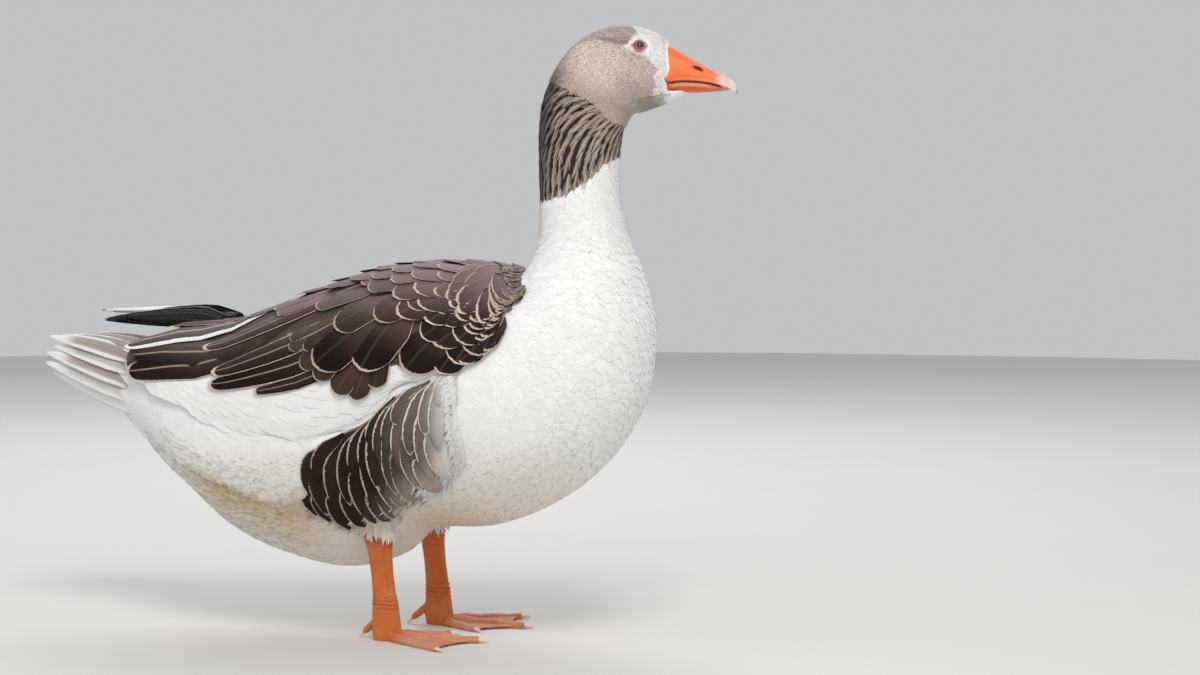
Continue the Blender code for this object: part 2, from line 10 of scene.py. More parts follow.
import bmesh
import bpy
import numpy as np
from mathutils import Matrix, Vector


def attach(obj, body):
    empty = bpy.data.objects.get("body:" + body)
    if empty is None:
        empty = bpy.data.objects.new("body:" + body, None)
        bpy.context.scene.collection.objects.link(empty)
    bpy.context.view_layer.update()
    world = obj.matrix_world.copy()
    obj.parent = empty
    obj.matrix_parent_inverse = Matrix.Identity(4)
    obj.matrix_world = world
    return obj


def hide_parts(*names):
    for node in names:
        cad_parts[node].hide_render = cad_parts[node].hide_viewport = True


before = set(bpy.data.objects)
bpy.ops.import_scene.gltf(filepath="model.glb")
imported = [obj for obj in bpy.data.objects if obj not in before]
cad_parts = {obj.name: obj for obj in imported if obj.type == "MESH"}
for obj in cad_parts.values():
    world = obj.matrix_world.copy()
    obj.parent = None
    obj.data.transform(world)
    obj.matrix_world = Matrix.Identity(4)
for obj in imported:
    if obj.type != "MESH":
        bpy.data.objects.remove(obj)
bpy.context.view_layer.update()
chance = np.random.default_rng(11)

# ---------------------------------------------------------------- the bird's form, as in the solids
SHIFT = np.array((0.0317, 0.0, 0.004))
RINGS = np.array(  # top x, top z, low x, low z, half width, keel exponent
    [
        (-0.393, 0.289, -0.387, 0.254, 0.056, 2.2),
        (-0.376, 0.291, -0.371, 0.242, 0.063, 2.2),
        (-0.345, 0.289, -0.342, 0.227, 0.060, 2.1),
        (-0.312, 0.286, -0.315, 0.206, 0.058, 2.0),
        (-0.280, 0.289, -0.285, 0.176, 0.066, 1.9),
        (-0.240, 0.295, -0.245, 0.138, 0.081, 1.9),
        (-0.185, 0.305, -0.190, 0.092, 0.098, 1.8),
        (-0.125, 0.3255, -0.130, 0.067, 0.108, 1.7),
        (-0.065, 0.344, -0.068, 0.057, 0.112, 1.6),
        (-0.010, 0.3565, -0.008, 0.076, 0.113, 1.6),
        (0.040, 0.360, 0.024, 0.102, 0.112, 1.8),
        (0.078, 0.3605, 0.092, 0.109, 0.110, 2.0),
        (0.104, 0.3605, 0.154, 0.134, 0.106, 2.1),
        (0.119, 0.3605, 0.206, 0.176, 0.099, 2.15),
        (0.127, 0.363, 0.241, 0.234, 0.090, 2.2),
        (0.132, 0.3685, 0.250, 0.302, 0.079, 2.2),
        (0.1365, 0.378, 0.2415, 0.352, 0.064, 2.2),
        (0.140, 0.395, 0.227, 0.392, 0.051, 2.2),
        (0.140, 0.425, 0.2185, 0.425, 0.042, 2.2),
        (0.138, 0.458, 0.217, 0.458, 0.0375, 2.2),
        (0.1375, 0.492, 0.2195, 0.488, 0.036, 2.2),
        (0.141, 0.526, 0.2245, 0.506, 0.035, 2.2),
        (0.153, 0.556, 0.230, 0.5145, 0.0335, 2.2),
        (0.173, 0.582, 0.2375, 0.5165, 0.0315, 2.2),
        (0.197, 0.5965, 0.2455, 0.5185, 0.0295, 2.2),
        (0.222, 0.600, 0.254, 0.5215, 0.0275, 2.2),
        (0.2435, 0.597, 0.262, 0.5245, 0.0245, 2.2),
        (0.2585, 0.590, 0.2685, 0.5275, 0.0215, 2.2),
        (0.2655, 0.5840, 0.2725, 0.5305, 0.0190, 2.2),
    ]
)
LAST_RING = len(RINGS) - 1
BACK_FULLNESS = 2.2
NECK_AXIS_X, HEAD_TURN = 0.177, radians(11)
TURN_FROM_Z, TURN_TO_Z = 0.40, 0.51
WING_RINGS = (3.5, 13.3)
WING_TOP = [(3, 30), (6, 14), (8, 8), (10, 6), (12, 9), (13.3, 32)]
WING_LOW = [(3, 70), (5, 78), (6, 84), (7, 88), (8, 92), (9, 91), (10, 83), (11, 76), (12, 72), (13.3, 56)]
WING_BULGE, WING_BULGE_AT = 0.013, 0.62
WING_FLAT, WING_FULL = 5.5, 10.0
WING_FREE = (5.0, 6.8)
WING_END = [  # ring, place along, then y and z of the top and of the low edge
    (3.5, -0.301, 0.056, 0.276, 0.064, 0.254),
    (4.0, -0.279, 0.044, 0.290, 0.075, 0.247),
    (5.0, -0.240, 0.030, 0.303, 0.088, 0.235),
    (6.0, -0.193, 0.024, 0.311, 0.101, 0.222),
    (7.0, -0.140, 0.022, 0.324, 0.110, 0.212),
]
WING_END_BOW, WING_END_THICK = 0.012, 0.0035
FLANK_RINGS = (7.9, 11.2)
FLANK_LOW = [(7.9, 124), (8.5, 137), (9.5, 141), (10.5, 133), (11.2, 112)]
FLANK_BULGE, FLANK_GAP = 0.020, 1.3
SHELL_SEAT, SHELL_EDGE = 0.0014, 0.0015
EYE_RING, EYE_ANGLE = 25.52, radians(63.5)
EYE_RADIUS, EYE_DEPTH = 0.0088, 0.0052
LEG_X, LEG_Y = {"right": -0.0065, "left": 0.002}, 0.056
LEG_BEND_Z, LEG_LEAN = 0.0325, 0.11
SIDES = {"left": 1, "right": -1}


def between(rows, place):
    """A smooth curve through evenly spaced rows of values, read at each place (Catmull-Rom)."""
    i = np.clip(np.asarray(place, float).astype(int), 0, len(rows) - 2)
    t = (place - i)[..., None]
    a, b, c, d = (rows[np.clip(i + k, 0, len(rows) - 1)] for k in (-1, 0, 1, 2))
    return 0.5 * (2 * b + (c - a) * t + (2 * a - 5 * b + 4 * c - d) * t**2 + (3 * b - a - 3 * c + d) * t**3)


def line(points, x, column=1):
    """A table of points joined by straight lines, read at x."""
    return np.interp(x, [p[0] for p in points], [p[column] for p in points])


def smooth(value):
    t = np.clip(value, 0.0, 1.0)
    return t * t * (3 - 2 * t)


def hump(away, width):
    """A bell that is 1 in its middle and dies out over a few widths."""
    return np.exp(-((away / width) ** 2))


def degrees_down(angle):
    """Degrees down from the back on either side, for angles that may run past pi."""
    return np.degrees(np.abs(np.arctan2(np.sin(angle), np.cos(angle))))


def signed_power(value, power):
    return np.abs(value) ** power * np.where(value >= 0, 1.0, -1.0)


def unit(v):
    return v / np.maximum(np.linalg.norm(v, axis=-1, keepdims=True), 1e-12)


def turned(x, y, z):
    """Turns points of the neck or head with the head, and centres the whole bird."""
    share = np.where(x > NECK_AXIS_X - 0.06, smooth((z - TURN_FROM_Z) / (TURN_TO_Z - TURN_FROM_Z)), 0.0)
    c, s = np.cos(HEAD_TURN * share), np.sin(HEAD_TURN * share)
    forward = x - NECK_AXIS_X
    return np.stack([forward * c - y * s + NECK_AXIS_X, forward * s + y * c, z], -1) + SHIFT


def skin_point(ring, angle):
    """The form at a ring and an angle: 0 on the back, pi/2 on the left side, pi below."""
    ring, angle = np.broadcast_arrays(np.asarray(ring, float), np.asarray(angle, float))
    top_x, top_z, low_x, low_z, half_width, keel = np.moveaxis(between(RINGS, ring), -1, 0)
    power = 2 / np.where(np.cos(angle) >= 0, BACK_FULLNESS, keel)
    up, side = signed_power(np.cos(angle), power), signed_power(np.sin(angle), power)
    x = (top_x + low_x) / 2 + (top_x - low_x) / 2 * up
    z = (top_z + low_z) / 2 + (top_z - low_z) / 2 * up
    return turned(x, half_width * side, z)


def slopes(place, p, q, step=0.01):
    """How a surface runs along each of its two coordinates."""
    along = (place(p + step, q) - place(p - step, q)) / (2 * step)
    around = (place(p, q + step) - place(p, q - step)) / (2 * step)
    return along, around


def on_skin(ring, angle, height):
    along, around = slopes(skin_point, ring, angle, 0.02)
    return skin_point(ring, angle) + unit(np.cross(along, around)) * np.asarray(height)[..., None]


def swell(u, v, power=1.0):
    """Nothing at the edges of a shell and 1 in its middle."""
    over = np.sin(pi * np.clip(u, 0, 1)) * np.sin(pi * np.clip(v, 0, 1) ** power)
    return np.maximum(over, 0.0) ** 0.6


def ring_at(span, u):
    return span[0] + (span[1] - span[0]) * u


def share_of(span, ring):
    return (ring - span[0]) / (span[1] - span[0])


def wing_angle(ring, v):
    top = line(WING_TOP, ring)
    return np.radians(top + (line(WING_LOW, ring) - top) * v)


def down_wing(ring, degrees):
    """How far down the wing a place lies: 0 at its top and 1 at its low edge."""
    top = line(WING_TOP, ring)
    return (degrees - top) / (line(WING_LOW, ring) - top)


def down_flank(ring, degrees):
    """How far down the flank a place lies: 0 under the wing and 1 at its low edge."""
    top = line(WING_LOW, ring) + FLANK_GAP
    return (degrees - top) / np.maximum(line(FLANK_LOW, ring) - top, 1)


def wing_bulge(ring):
    return WING_BULGE * (0.35 + 0.65 * smooth((ring - WING_FLAT) / (WING_FULL - WING_FLAT)))


def wing_face(u, v):
    """The outer face of the left folded wing, which leaves the body past the rump."""
    u, v = np.broadcast_arrays(np.asarray(u, float), np.asarray(v, float))
    ring = ring_at(WING_RINGS, u)
    height = SHELL_SEAT + SHELL_EDGE + wing_bulge(ring) * swell(u, v, WING_BULGE_AT)
    laid = on_skin(ring, wing_angle(ring, v), height)
    x, top_y, top_z, low_y, low_z = (line(WING_END, ring, k) for k in range(1, 6))
    x = x + np.minimum(ring - WING_RINGS[0], 0) * 0.044
    bow = -unit(np.stack([0 * x, low_z - top_z, top_y - low_y], -1))
    free = np.stack([x, top_y + (low_y - top_y) * v, top_z + (low_z - top_z) * v], -1)
    thick = SHELL_EDGE + WING_END_THICK * swell(0.5, v) * np.clip(ring - WING_RINGS[0] + 0.35, 0, 1)
    free = free + bow * (WING_END_BOW * np.sin(pi * v) + thick)[..., None] + SHIFT
    loose = smooth((WING_FREE[1] - ring) / (WING_FREE[1] - WING_FREE[0]))[..., None]
    return laid * (1 - loose) + free * loose


def flank_face(u, v):
    """The outer face of the left barred flank."""
    ring = ring_at(FLANK_RINGS, u)
    top = line(WING_LOW, ring) + FLANK_GAP
    angle = np.radians(top + (line(FLANK_LOW, ring) - top) * v)
    return on_skin(ring, angle, SHELL_SEAT + SHELL_EDGE + FLANK_BULGE * swell(u, v))


def flank_start(u):
    """Where the bars begin down the flank: lower towards its rounded rear corner."""
    return 0.30 * np.clip(1 - u / 0.30, 0, 1) ** 1.6


def ripple(points, scale, seed=0.0):
    """A soft irregular value from about -1 to 1, the same for the same place."""
    x, y, z = (points[..., k] * scale for k in range(3))
    one = np.sin(x * 1.7 + 2.1 * np.sin(y * 0.9 + seed)) + np.sin(y * 2.3 + 1.7 * np.sin(z * 1.1 + 2 * seed))
    two = np.sin(z * 1.9 + 2.3 * np.sin(x * 1.3 - seed)) + np.sin((x + y + z) * 1.1 + seed * 3)
    return (one + two) / 4


# ---------------------------------------------------------------- markings, shared by the skin and the coat
WHITE = np.array((0.86, 0.855, 0.845))
CREAM = np.array((0.74, 0.69, 0.59))
BUFF = np.array((0.66, 0.50, 0.34))
GOLD = np.array((0.72, 0.55, 0.34))
TAUPE = np.array((0.70, 0.575, 0.515))
CROWN = np.array((0.51, 0.42, 0.385))
RIDGE = np.array((0.50, 0.39, 0.32))
# near-black painted as the shade deep in the neck's furrows and the chin's fold
FURROW_SHADE = np.array((0.030, 0.018, 0.013))
CHIN = np.array((0.50, 0.47, 0.37))
SADDLE = np.array((0.070, 0.041, 0.031))
SADDLE_DARK = np.array((0.010, 0.0050, 0.0035))
# the brown painted lilac-grey as sky light falling on it from above: painted light
SADDLE_SKYLIT = np.array((0.235, 0.172, 0.172))
RIM = np.array((0.60, 0.47, 0.39))
BLAZE_EDGE = [
    (0, 25.3), (28, 25.45), (37, 25.5), (44, 25.35), (50, 25.2), (57, 25.0), (60, 24.85), (63, 24.6),
    (66, 24.85), (71, 25.0), (74, 25.15), (77, 25.35), (80, 25.7), (84, 25.8), (88, 26.05), (92, 26.2),
    (98, 26.05), (108, 25.7), (114, 25.75), (121, 25.75), (127, 25.35), (136, 25.1), (180, 25.1),
]
CROWN_EDGE = [(21.6, 24), (23.0, 26), (23.55, 35), (23.9, 45), (24.25, 54), (24.55, 60), (25.4, 60)]
CHIN_EDGE = [(23.0, 136), (23.6, 138), (24.3, 140), (25.6, 141), (26.55, 138), (28.0, 134)]
REAR_FOLD = [(4.6, 117), (5.4, 116), (5.9, 114), (6.4, 116), (6.8, 119.5), (7.3, 124), (7.9, 118), (8.4, 112)]
NECK_EDGE_Z = [(0, 0.431), (40, 0.430), (80, 0.434), (110, 0.447), (140, 0.466), (180, 0.474)]


def mix(a, b, share):
    share = np.clip(np.asarray(share)[..., None], 0, 1)
    return a * (1 - share) + b * share


def markings(ring, angle, points):
    """The tone of the plumage at places on the form."""
    degrees = degrees_down(angle)
    x, z = points[..., 0], points[..., 2]
    rough = ripple(points, 260)
    fine = ripple(points, 900, 3.0)
    tone = np.broadcast_to(WHITE, points.shape).copy()
    tone = mix(tone, CREAM, smooth((0.215 - z) / 0.09) * smooth((0.27 - x) / 0.1) * 0.75)
    tone = mix(tone, BUFF, smooth(1 - np.abs(x - 0.085) / 0.085) * smooth((0.150 - z) / 0.04) * 0.75)
    below = degrees - line(REAR_FOLD, ring)
    paunch = smooth((ring - 5.1) / 0.9) * smooth((8.3 - ring) / 1.0)
    paunch = paunch * smooth((below + 5) / 12) * smooth((34 - below) / 26)
    tone = mix(tone, GOLD, paunch * (0.85 + 0.25 * rough))
    # painted shadow: a darker gold band just under the white locks of the fold over the paunch
    lip_shadow = hump(below - 5, 4) * smooth((ring - 5.4) / 0.5) * smooth((8.2 - ring) / 0.6)
    tone = mix(tone, GOLD * 0.70, lip_shadow * (0.5 + 0.3 * rough))
    # painted shade: the white greyer towards the tail end
    tone = mix(tone, WHITE * 0.93, smooth((-0.19 - x) / 0.05) * 0.7)
    u, v = share_of(FLANK_RINGS, ring), down_flank(ring, degrees)
    flank = smooth(u / 0.03) * smooth((0.80 - u) / 0.3)
    flank = flank * smooth((v - flank_start(u)) / 0.04) * smooth((1.0 - v) / 0.12)
    tone = mix(tone, SADDLE_DARK * 2, flank)
    back = smooth((4.6 + 0.01 * degrees - ring) / -0.9) * smooth((14.35 + 0.25 * rough - ring) / 0.25)
    # the top of the back: brown painted partly lilac as sky light from above
    saddle = mix(SADDLE, SADDLE_SKYLIT, 0.6 + 0.2 * rough)
    tone = mix(tone, saddle, back * smooth((31 - degrees) / 8))
    grey_from = line(NECK_EDGE_Z, degrees) + 0.0035 * rough + 0.002 * fine + 0.0028 * np.sin(degrees * 0.57)
    neck = smooth((z - grey_from + 0.002) / 0.006) * (ring > 17)
    hind = smooth((74 - degrees) / 48)
    crown_edge = line(CROWN_EDGE, ring)
    head = mix(TAUPE, CROWN, smooth((crown_edge - degrees + 2 * rough) / 7 + 0.5))
    head = mix(head, CROWN * 0.40, hump(degrees - crown_edge + 3, 4.5) * smooth((ring - 23.2) / 1) * 0.55)
    head = mix(head, TAUPE * 0.70, smooth((degrees - 84) / 40) * smooth((25.8 - ring) / 2.2) * 0.85)
    head = mix(head, head * 0.86, smooth(0.5 + 0.9 * ripple(points, 420, 5.0)) * 0.35)
    grey = mix(mix(RIDGE * 0.95, RIDGE * 0.22, hind), head, smooth((ring - 21.6) / 1.3))
    tone = mix(tone, grey, neck)
    edge = line(BLAZE_EDGE, degrees) + 0.13 * rough + 0.13 * fine
    tone = mix(tone, WHITE * 1.09, smooth((ring - edge) / 0.12 + 0.5))
    chin_line = line(CHIN_EDGE, ring)
    chin = smooth((degrees - chin_line) / 4) * smooth((ring - 22.7) / 0.9)
    # the chin's own cream-grey, darkened further towards the throat as painted shade
    tone = mix(tone, mix(CHIN * 0.8, WHITE * 0.9, smooth((ring - 24.3) / 2.4)), chin)
    # painted shade: a dark line in the crease between cheek and chin
    fold = hump(degrees - chin_line + 1, 1.9) * smooth((ring - 23.2) / 0.8) * smooth((26.6 - ring) / 0.8)
    tone = mix(tone, FURROW_SHADE * 5, fold * 0.5)
    tone = mix(tone, WHITE * 1.06, smooth((1.60 - from_eye(points)) / 0.2) * (ring > 22))
    return tone * (1 + 0.035 * fine[..., None])


# ---------------------------------------------------------------- finishes
class Amount:
    """A number that varies over a surface. Its operators add Math nodes to the finish it belongs to."""

    def __init__(self, finish, socket):
        self.finish, self.socket = finish, socket

    def math(self, operation, *values):
        node = self.finish.node("ShaderNodeMath", {"operation": operation}, dict(enumerate(values)))
        return Amount(self.finish, node.outputs[0])

    def __add__(self, other):
        return self.math("ADD", self, other)

    __radd__ = __add__

    def __mul__(self, other):
        return self.math("MULTIPLY", self, other)

    __rmul__ = __mul__

    def __sub__(self, other):
        return self.math("SUBTRACT", self, other)

    def __rsub__(self, other):
        return self.math("SUBTRACT", other, self)

    def __pow__(self, other):
        return self.math("POWER", self, other)

    def sine(self):
        return self.math("SINE", self)

    def size(self):
        return self.math("ABSOLUTE", self)

    def step(self, low, high):
        """0 below low, 1 above high and smooth between them."""
        settings = {"interpolation_type": "SMOOTHSTEP"}
        node = self.finish.node("ShaderNodeMapRange", settings, {0: self, 1: low, 2: high, 3: 0.0, 4: 1.0})
        return Amount(self.finish, node.outputs[0])


class Finish:
    """A named material with one Principled shader."""

    def __init__(self, name, roughness=0.7, **constants):
        self.material = bpy.data.materials.new(name)
        self.material.use_nodes = True
        self.tree = self.material.node_tree
        self.shader = self.tree.nodes["Principled BSDF"]
        self.shader.inputs["Roughness"].default_value = roughness
        for socket, value in constants.items():
            self.shader.inputs[socket.replace("_", " ")].default_value = value

    def join(self, value, socket):
        if isinstance(value, Amount):
            self.tree.links.new(value.socket, socket)
        elif isinstance(value, bpy.types.NodeSocket):
            self.tree.links.new(value, socket)
        else:
            default = socket.default_value
            if hasattr(default, "__len__") and len(default) == 4 and len(value) == 3:
                value = (*value, 1.0)
            socket.default_value = value

    def node(self, kind, settings=None, sockets=None):
        made = self.tree.nodes.new(kind)
        for key, value in (settings or {}).items():
            setattr(made, key, value)
        for key, value in (sockets or {}).items():
            self.join(value, made.inputs[key])
        return made

    def place(self):
        return self.node("ShaderNodeTexCoord").outputs["Object"]

    def vane(self):
        return self.node("ShaderNodeUVMap", {"uv_map": "Vane"}).outputs[0]

    def map(self):
        """Places across and along each feather, as amounts."""
        parts = self.node("ShaderNodeSeparateXYZ", None, {0: self.vane()})
        return Amount(self, parts.outputs[0]), Amount(self, parts.outputs[1])

    def number(self, name):
        return Amount(self, self.node("ShaderNodeAttribute", {"attribute_name": name}).outputs["Fac"])

    def colour(self, name="Plumage"):
        return self.node("ShaderNodeAttribute", {"attribute_name": name}).outputs["Color"]

    def noise(self, scale, detail=3.0, where=None, stretch=None):
        where = self.place() if where is None else where
        if stretch:
            where = self.node("ShaderNodeMapping", None, {"Vector": where, "Scale": stretch}).outputs[0]
        made = self.node("ShaderNodeTexNoise", None, {"Vector": where, "Scale": scale, "Detail": detail})
        return Amount(self, made.outputs[0])

    def cells(self, scale, feature="F1"):
        sockets = {"Vector": self.place(), "Scale": scale}
        made = self.node("ShaderNodeTexVoronoi", {"feature": feature}, sockets)
        return Amount(self, made.outputs[0])

    def blend(self, share, a, b, kind="MIX"):
        made = self.node("ShaderNodeMix", {"data_type": "RGBA", "blend_type": kind})
        self.join(share, made.inputs[0])
        self.join(a, made.inputs[6])
        self.join(b, made.inputs[7])
        return made.outputs[2]

    def shade(self, colour, amount):
        """The colour times a varying amount."""
        grey = self.node("ShaderNodeCombineColor", None, {0: amount, 1: amount, 2: amount}).outputs[0]
        return self.blend(1.0, colour, grey, "MULTIPLY")

    def done(self, colour, roughness=None, bump=None, distance=0.001):
        self.join(colour, self.shader.inputs["Base Color"])
        if roughness is not None:
            self.join(roughness, self.shader.inputs["Roughness"])
        if bump is not None:
            sockets = {"Height": bump, "Distance": distance, "Strength": 1.0}
            raised = self.node("ShaderNodeBump", None, sockets)
            self.join(raised.outputs[0], self.shader.inputs["Normal"])
        return self.material


def down_finish():
    """Short plush and soft white plumes: the plumage tone with faint barbs."""
    made = Finish("white_feather", 0.8, Sheen_Weight=0.12)
    across, along = made.map()
    barbs = ((along * 26 + (across - 0.5).size() * -22 + made.noise(90, 2) * 4) * 2.0).sine()
    patchy = made.noise(60, 3)
    tone = made.shade(made.colour(), 0.94 + patchy * 0.10 + barbs * 0.02)
    return made.done(tone, 0.74 + patchy * 0.12, barbs * 0.3 + made.noise(1100, 2), 0.00012)


def skin_finish():
    made = Finish("grey_feather", 0.85)
    grain = made.noise(700, 3)
    return made.done(made.shade(made.colour(), 0.86 + grain * 0.2), 0.8 + grain * 0.1, grain, 0.0005)


def plush_finish():
    """Head plush: fine short hairs in tufts."""
    made = Finish("head_plush", 0.85, Sheen_Weight=0.15)
    across, along = made.map()
    hairs = made.noise(1500, 3)
    tone = made.shade(made.colour(), 0.90 + along * 0.12 + hairs * 0.14)
    return made.done(tone, 0.85, hairs + (across * 9).sine() * 0.3, 0.0003)


def lock_finish():
    """The furrowed neck: locks streaked with hairs, with painted light on the crest, and painted shade down
    the sides and towards the root.
    """
    made = Finish("neck_lock", 0.8, Sheen_Weight=0.1)
    across, along = made.map()
    streaks = made.noise(26, 3, made.vane(), (9.0, 0.7, 1.0))
    crest = 1 - ((across - 0.5).size() * 2) ** 2
    # painted light on each lock's crest, painted shade on its sides and towards its root under the one before
    tone = made.shade(made.colour(), 0.45 + crest * 0.62 + streaks * 0.25 - (1 - along) * 0.18)
    return made.done(tone, 0.82, streaks + made.noise(1600, 2) * 0.5, 0.0005)


def vane_finish(name, roughness=0.5, barb=1.0, shine=0.08, fray=0.35):
    """Firm feathers: a centre tone, a paler rim, a shaft and slanting barbs."""
    made = Finish(name, roughness, Specular_IOR_Level=shine)
    across, along = made.map()
    off_shaft = (across - 0.5).size()
    speck = made.noise(420, 3)
    barbs = ((along * 60 - off_shaft * 50 + speck * 3) * 2.2).sine()
    rim = (made.number("Rim") + (speck - 0.5) * fray + barbs * 0.05).step(0.40, 0.58)
    centre = made.shade(made.colour(), 0.88 + speck * 0.16 + barbs * 0.05 * barb)
    tone = made.blend(rim, centre, made.shade(made.colour("Rim_tone"), 0.9 + speck * 0.2))
    shaft = (1 - off_shaft.step(0.006, 0.022)) * 0.45
    tone = made.blend(shaft * made.number("Shaft"), tone, made.colour("Rim_tone"))
    height = barbs * 0.35 * barb + speck * 0.3 + (1 - off_shaft.step(0.0, 0.03)) * 1.2
    return made.done(tone, roughness - 0.05 + speck * 0.18, height, 0.00022)


# ---------------------------------------------------------------- making meshes
def mesh_points(mesh, what="co"):
    """Where the points of a mesh are, or their normals."""
    flat = np.empty(len(mesh.vertices) * 3)
    mesh.vertices.foreach_get(what, flat)
    return flat.reshape(-1, 3)


def corners(mesh):
    """The point at each corner of a mesh's faces."""
    out = np.empty(len(mesh.loops), int)
    mesh.loops.foreach_get("vertex_index", out)
    return out


def made_mesh(bm, name):
    mesh = bpy.data.meshes.new(name)
    bm.to_mesh(mesh)
    bm.free()
    return mesh


def swept(name, place, along, around, finish, ends=True, bake=None):
    """A grid moved to place(s, t), with s along and t around it from 0 to 1, and its seam and ends closed."""
    bm = bmesh.new()
    bm.loops.layers.uv.new("OFBake")
    bmesh.ops.create_grid(bm, x_segments=along, y_segments=around, size=0.5, calc_uvs=True)
    mesh = made_mesh(bm, name)
    s, t = mesh_points(mesh)[:, :2].T + 0.5
    mesh.vertices.foreach_set("co", place(s, t).ravel())
    if bake is not None:
        mesh.uv_layers["OFBake"].data.foreach_set("uv", bake(s, t)[corners(mesh)].ravel())
    bm = bmesh.new()
    bm.from_mesh(mesh)
    bmesh.ops.remove_doubles(bm, verts=[v for v in bm.verts if v.is_boundary], dist=2e-6)
    if ends:
        bmesh.ops.holes_fill(bm, edges=[e for e in bm.edges if e.is_boundary])
    bmesh.ops.recalc_face_normals(bm, faces=bm.faces)
    bm.to_mesh(mesh)
    bm.free()
    return dress(name, mesh, finish)


def dress(name, mesh, finish):
    mesh.materials.append(finish)
    mesh.shade_smooth()
    piece = bpy.data.objects.new(name, mesh)
    bpy.context.scene.collection.objects.link(piece)
    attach(piece, "root")
    return piece


def paint(mesh, name, values):
    """Stores a colour or a number at each point of a mesh."""
    values = np.asarray(values, float)
    if values.ndim == 2:
        layer = mesh.attributes.new(name, "FLOAT_COLOR", "POINT")
        layer.data.foreach_set("color", np.column_stack([values, np.ones(len(values))]).ravel())
    else:
        layer = mesh.attributes.new(name, "FLOAT", "POINT")
        layer.data.foreach_set("value", values)


# ---------------------------------------------------------------- feathers
class Cut:
    """The outline of a kind of feather: rows from root to tip and columns across it."""

    def __init__(self, rows, columns, widest=0.45, base=0.35, end=0.7, rounding=0.2, jag=0.0, crown=0.15):
        self.rows, self.columns = np.array(rows, float), np.array(columns, float)
        self.widest, self.base, self.end = widest, base, end
        self.rounding, self.jag, self.crown = rounding, jag, crown

    def setback(self, s, t):
        """How far a feather's edge lies behind its middle at the tip, in half widths."""
        return self.rounding * np.clip(s, 0, 1) ** 4 * (1 - np.sqrt(1 - 0.97 * t * t))

    def width(self, s):
        out = self.base + (1 - self.base) * smooth(s / self.widest)
        return out * (1 - (1 - self.end) * np.clip((s - self.widest) / (1 - self.widest), 0, 1) ** 2)


def even(count, low=0.0, high=1.0):
    return np.linspace(low, high, count)


PLUSH = Cut([0, 0.5, 1], [-1, 0, 1], end=0.25, rounding=0.6, crown=0.5)
PLUME = Cut([0, 0.35, 0.7, 1], [-1, -0.5, 0, 0.5, 1], end=0.5, rounding=0.5, jag=0.05, crown=0.02)
LOCK = Cut([0, 0.25, 0.5, 0.75, 1], [-1, 0, 1], widest=0.35, end=0.06, rounding=0.0, crown=0.5)
ROPE = Cut(even(10), even(7, -1, 1), widest=0.4, base=0.45, end=0.12, rounding=0.2, jag=0.05, crown=0.95)
ROUND = [-1, -0.97, -0.84, -0.55, 0, 0.55, 0.84, 0.97, 1]
VANE = Cut([0, 0.2, 0.4, 0.58, 0.72, 0.84, 0.93, 1], ROUND, widest=0.5, end=0.86, rounding=0.95)
WIDE = [-1, -0.97, -0.88, -0.7, -0.4, 0, 0.4, 0.7, 0.88, 0.97, 1]
BIG = Cut([0, 0.15, 0.3, 0.45, 0.58, 0.7, 0.8, 0.88, 0.95, 1], WIDE, 0.5, end=0.86, rounding=0.95, crown=0.12)
LENGTHWISE = [0, 0.12, 0.26, 0.4, 0.55, 0.68, 0.8, 0.9, 0.96, 1]
LONG = Cut(LENGTHWISE, ROUND, widest=0.4, base=0.5, end=0.42, rounding=0.95)
LEAF = Cut(LENGTHWISE, ROUND, widest=0.45, base=0.6, end=0.14, rounding=0.5)
BAR = Cut(
    even(12), [-1, -0.75, -0.4, 0, 0.4, 0.75, 1],
    widest=0.34, base=0.16, end=0.10, rounding=0.3, crown=0.10,
)


MAP_SHARE, MAP_MARGIN = 0.96, 0.02  # how much of the unwrap the form takes up
# feathers in their places: points as (feather, row, column, xyz), the way out, where they lie and their rims
Laid = namedtuple("Laid", "points out p q rim")


def step_on(place, p, q, step):
    """Where a short step along a surface leads. A place may take many steps, in added axes."""
    more = (slice(None),) * p.ndim + (None,) * (step.ndim - 1 - p.ndim)
    along, around = (slope[more] for slope in slopes(place, p, q))
    e, f, g = ((a * b).sum(-1) for a, b in ((along, along), (along, around), (around, around)))
    one, two = (step * along).sum(-1), (step * around).sum(-1)
    spread = e * g - f * f
    return p[more] + (g * one - f * two) / spread, q[more] + (e * two - f * one) / spread


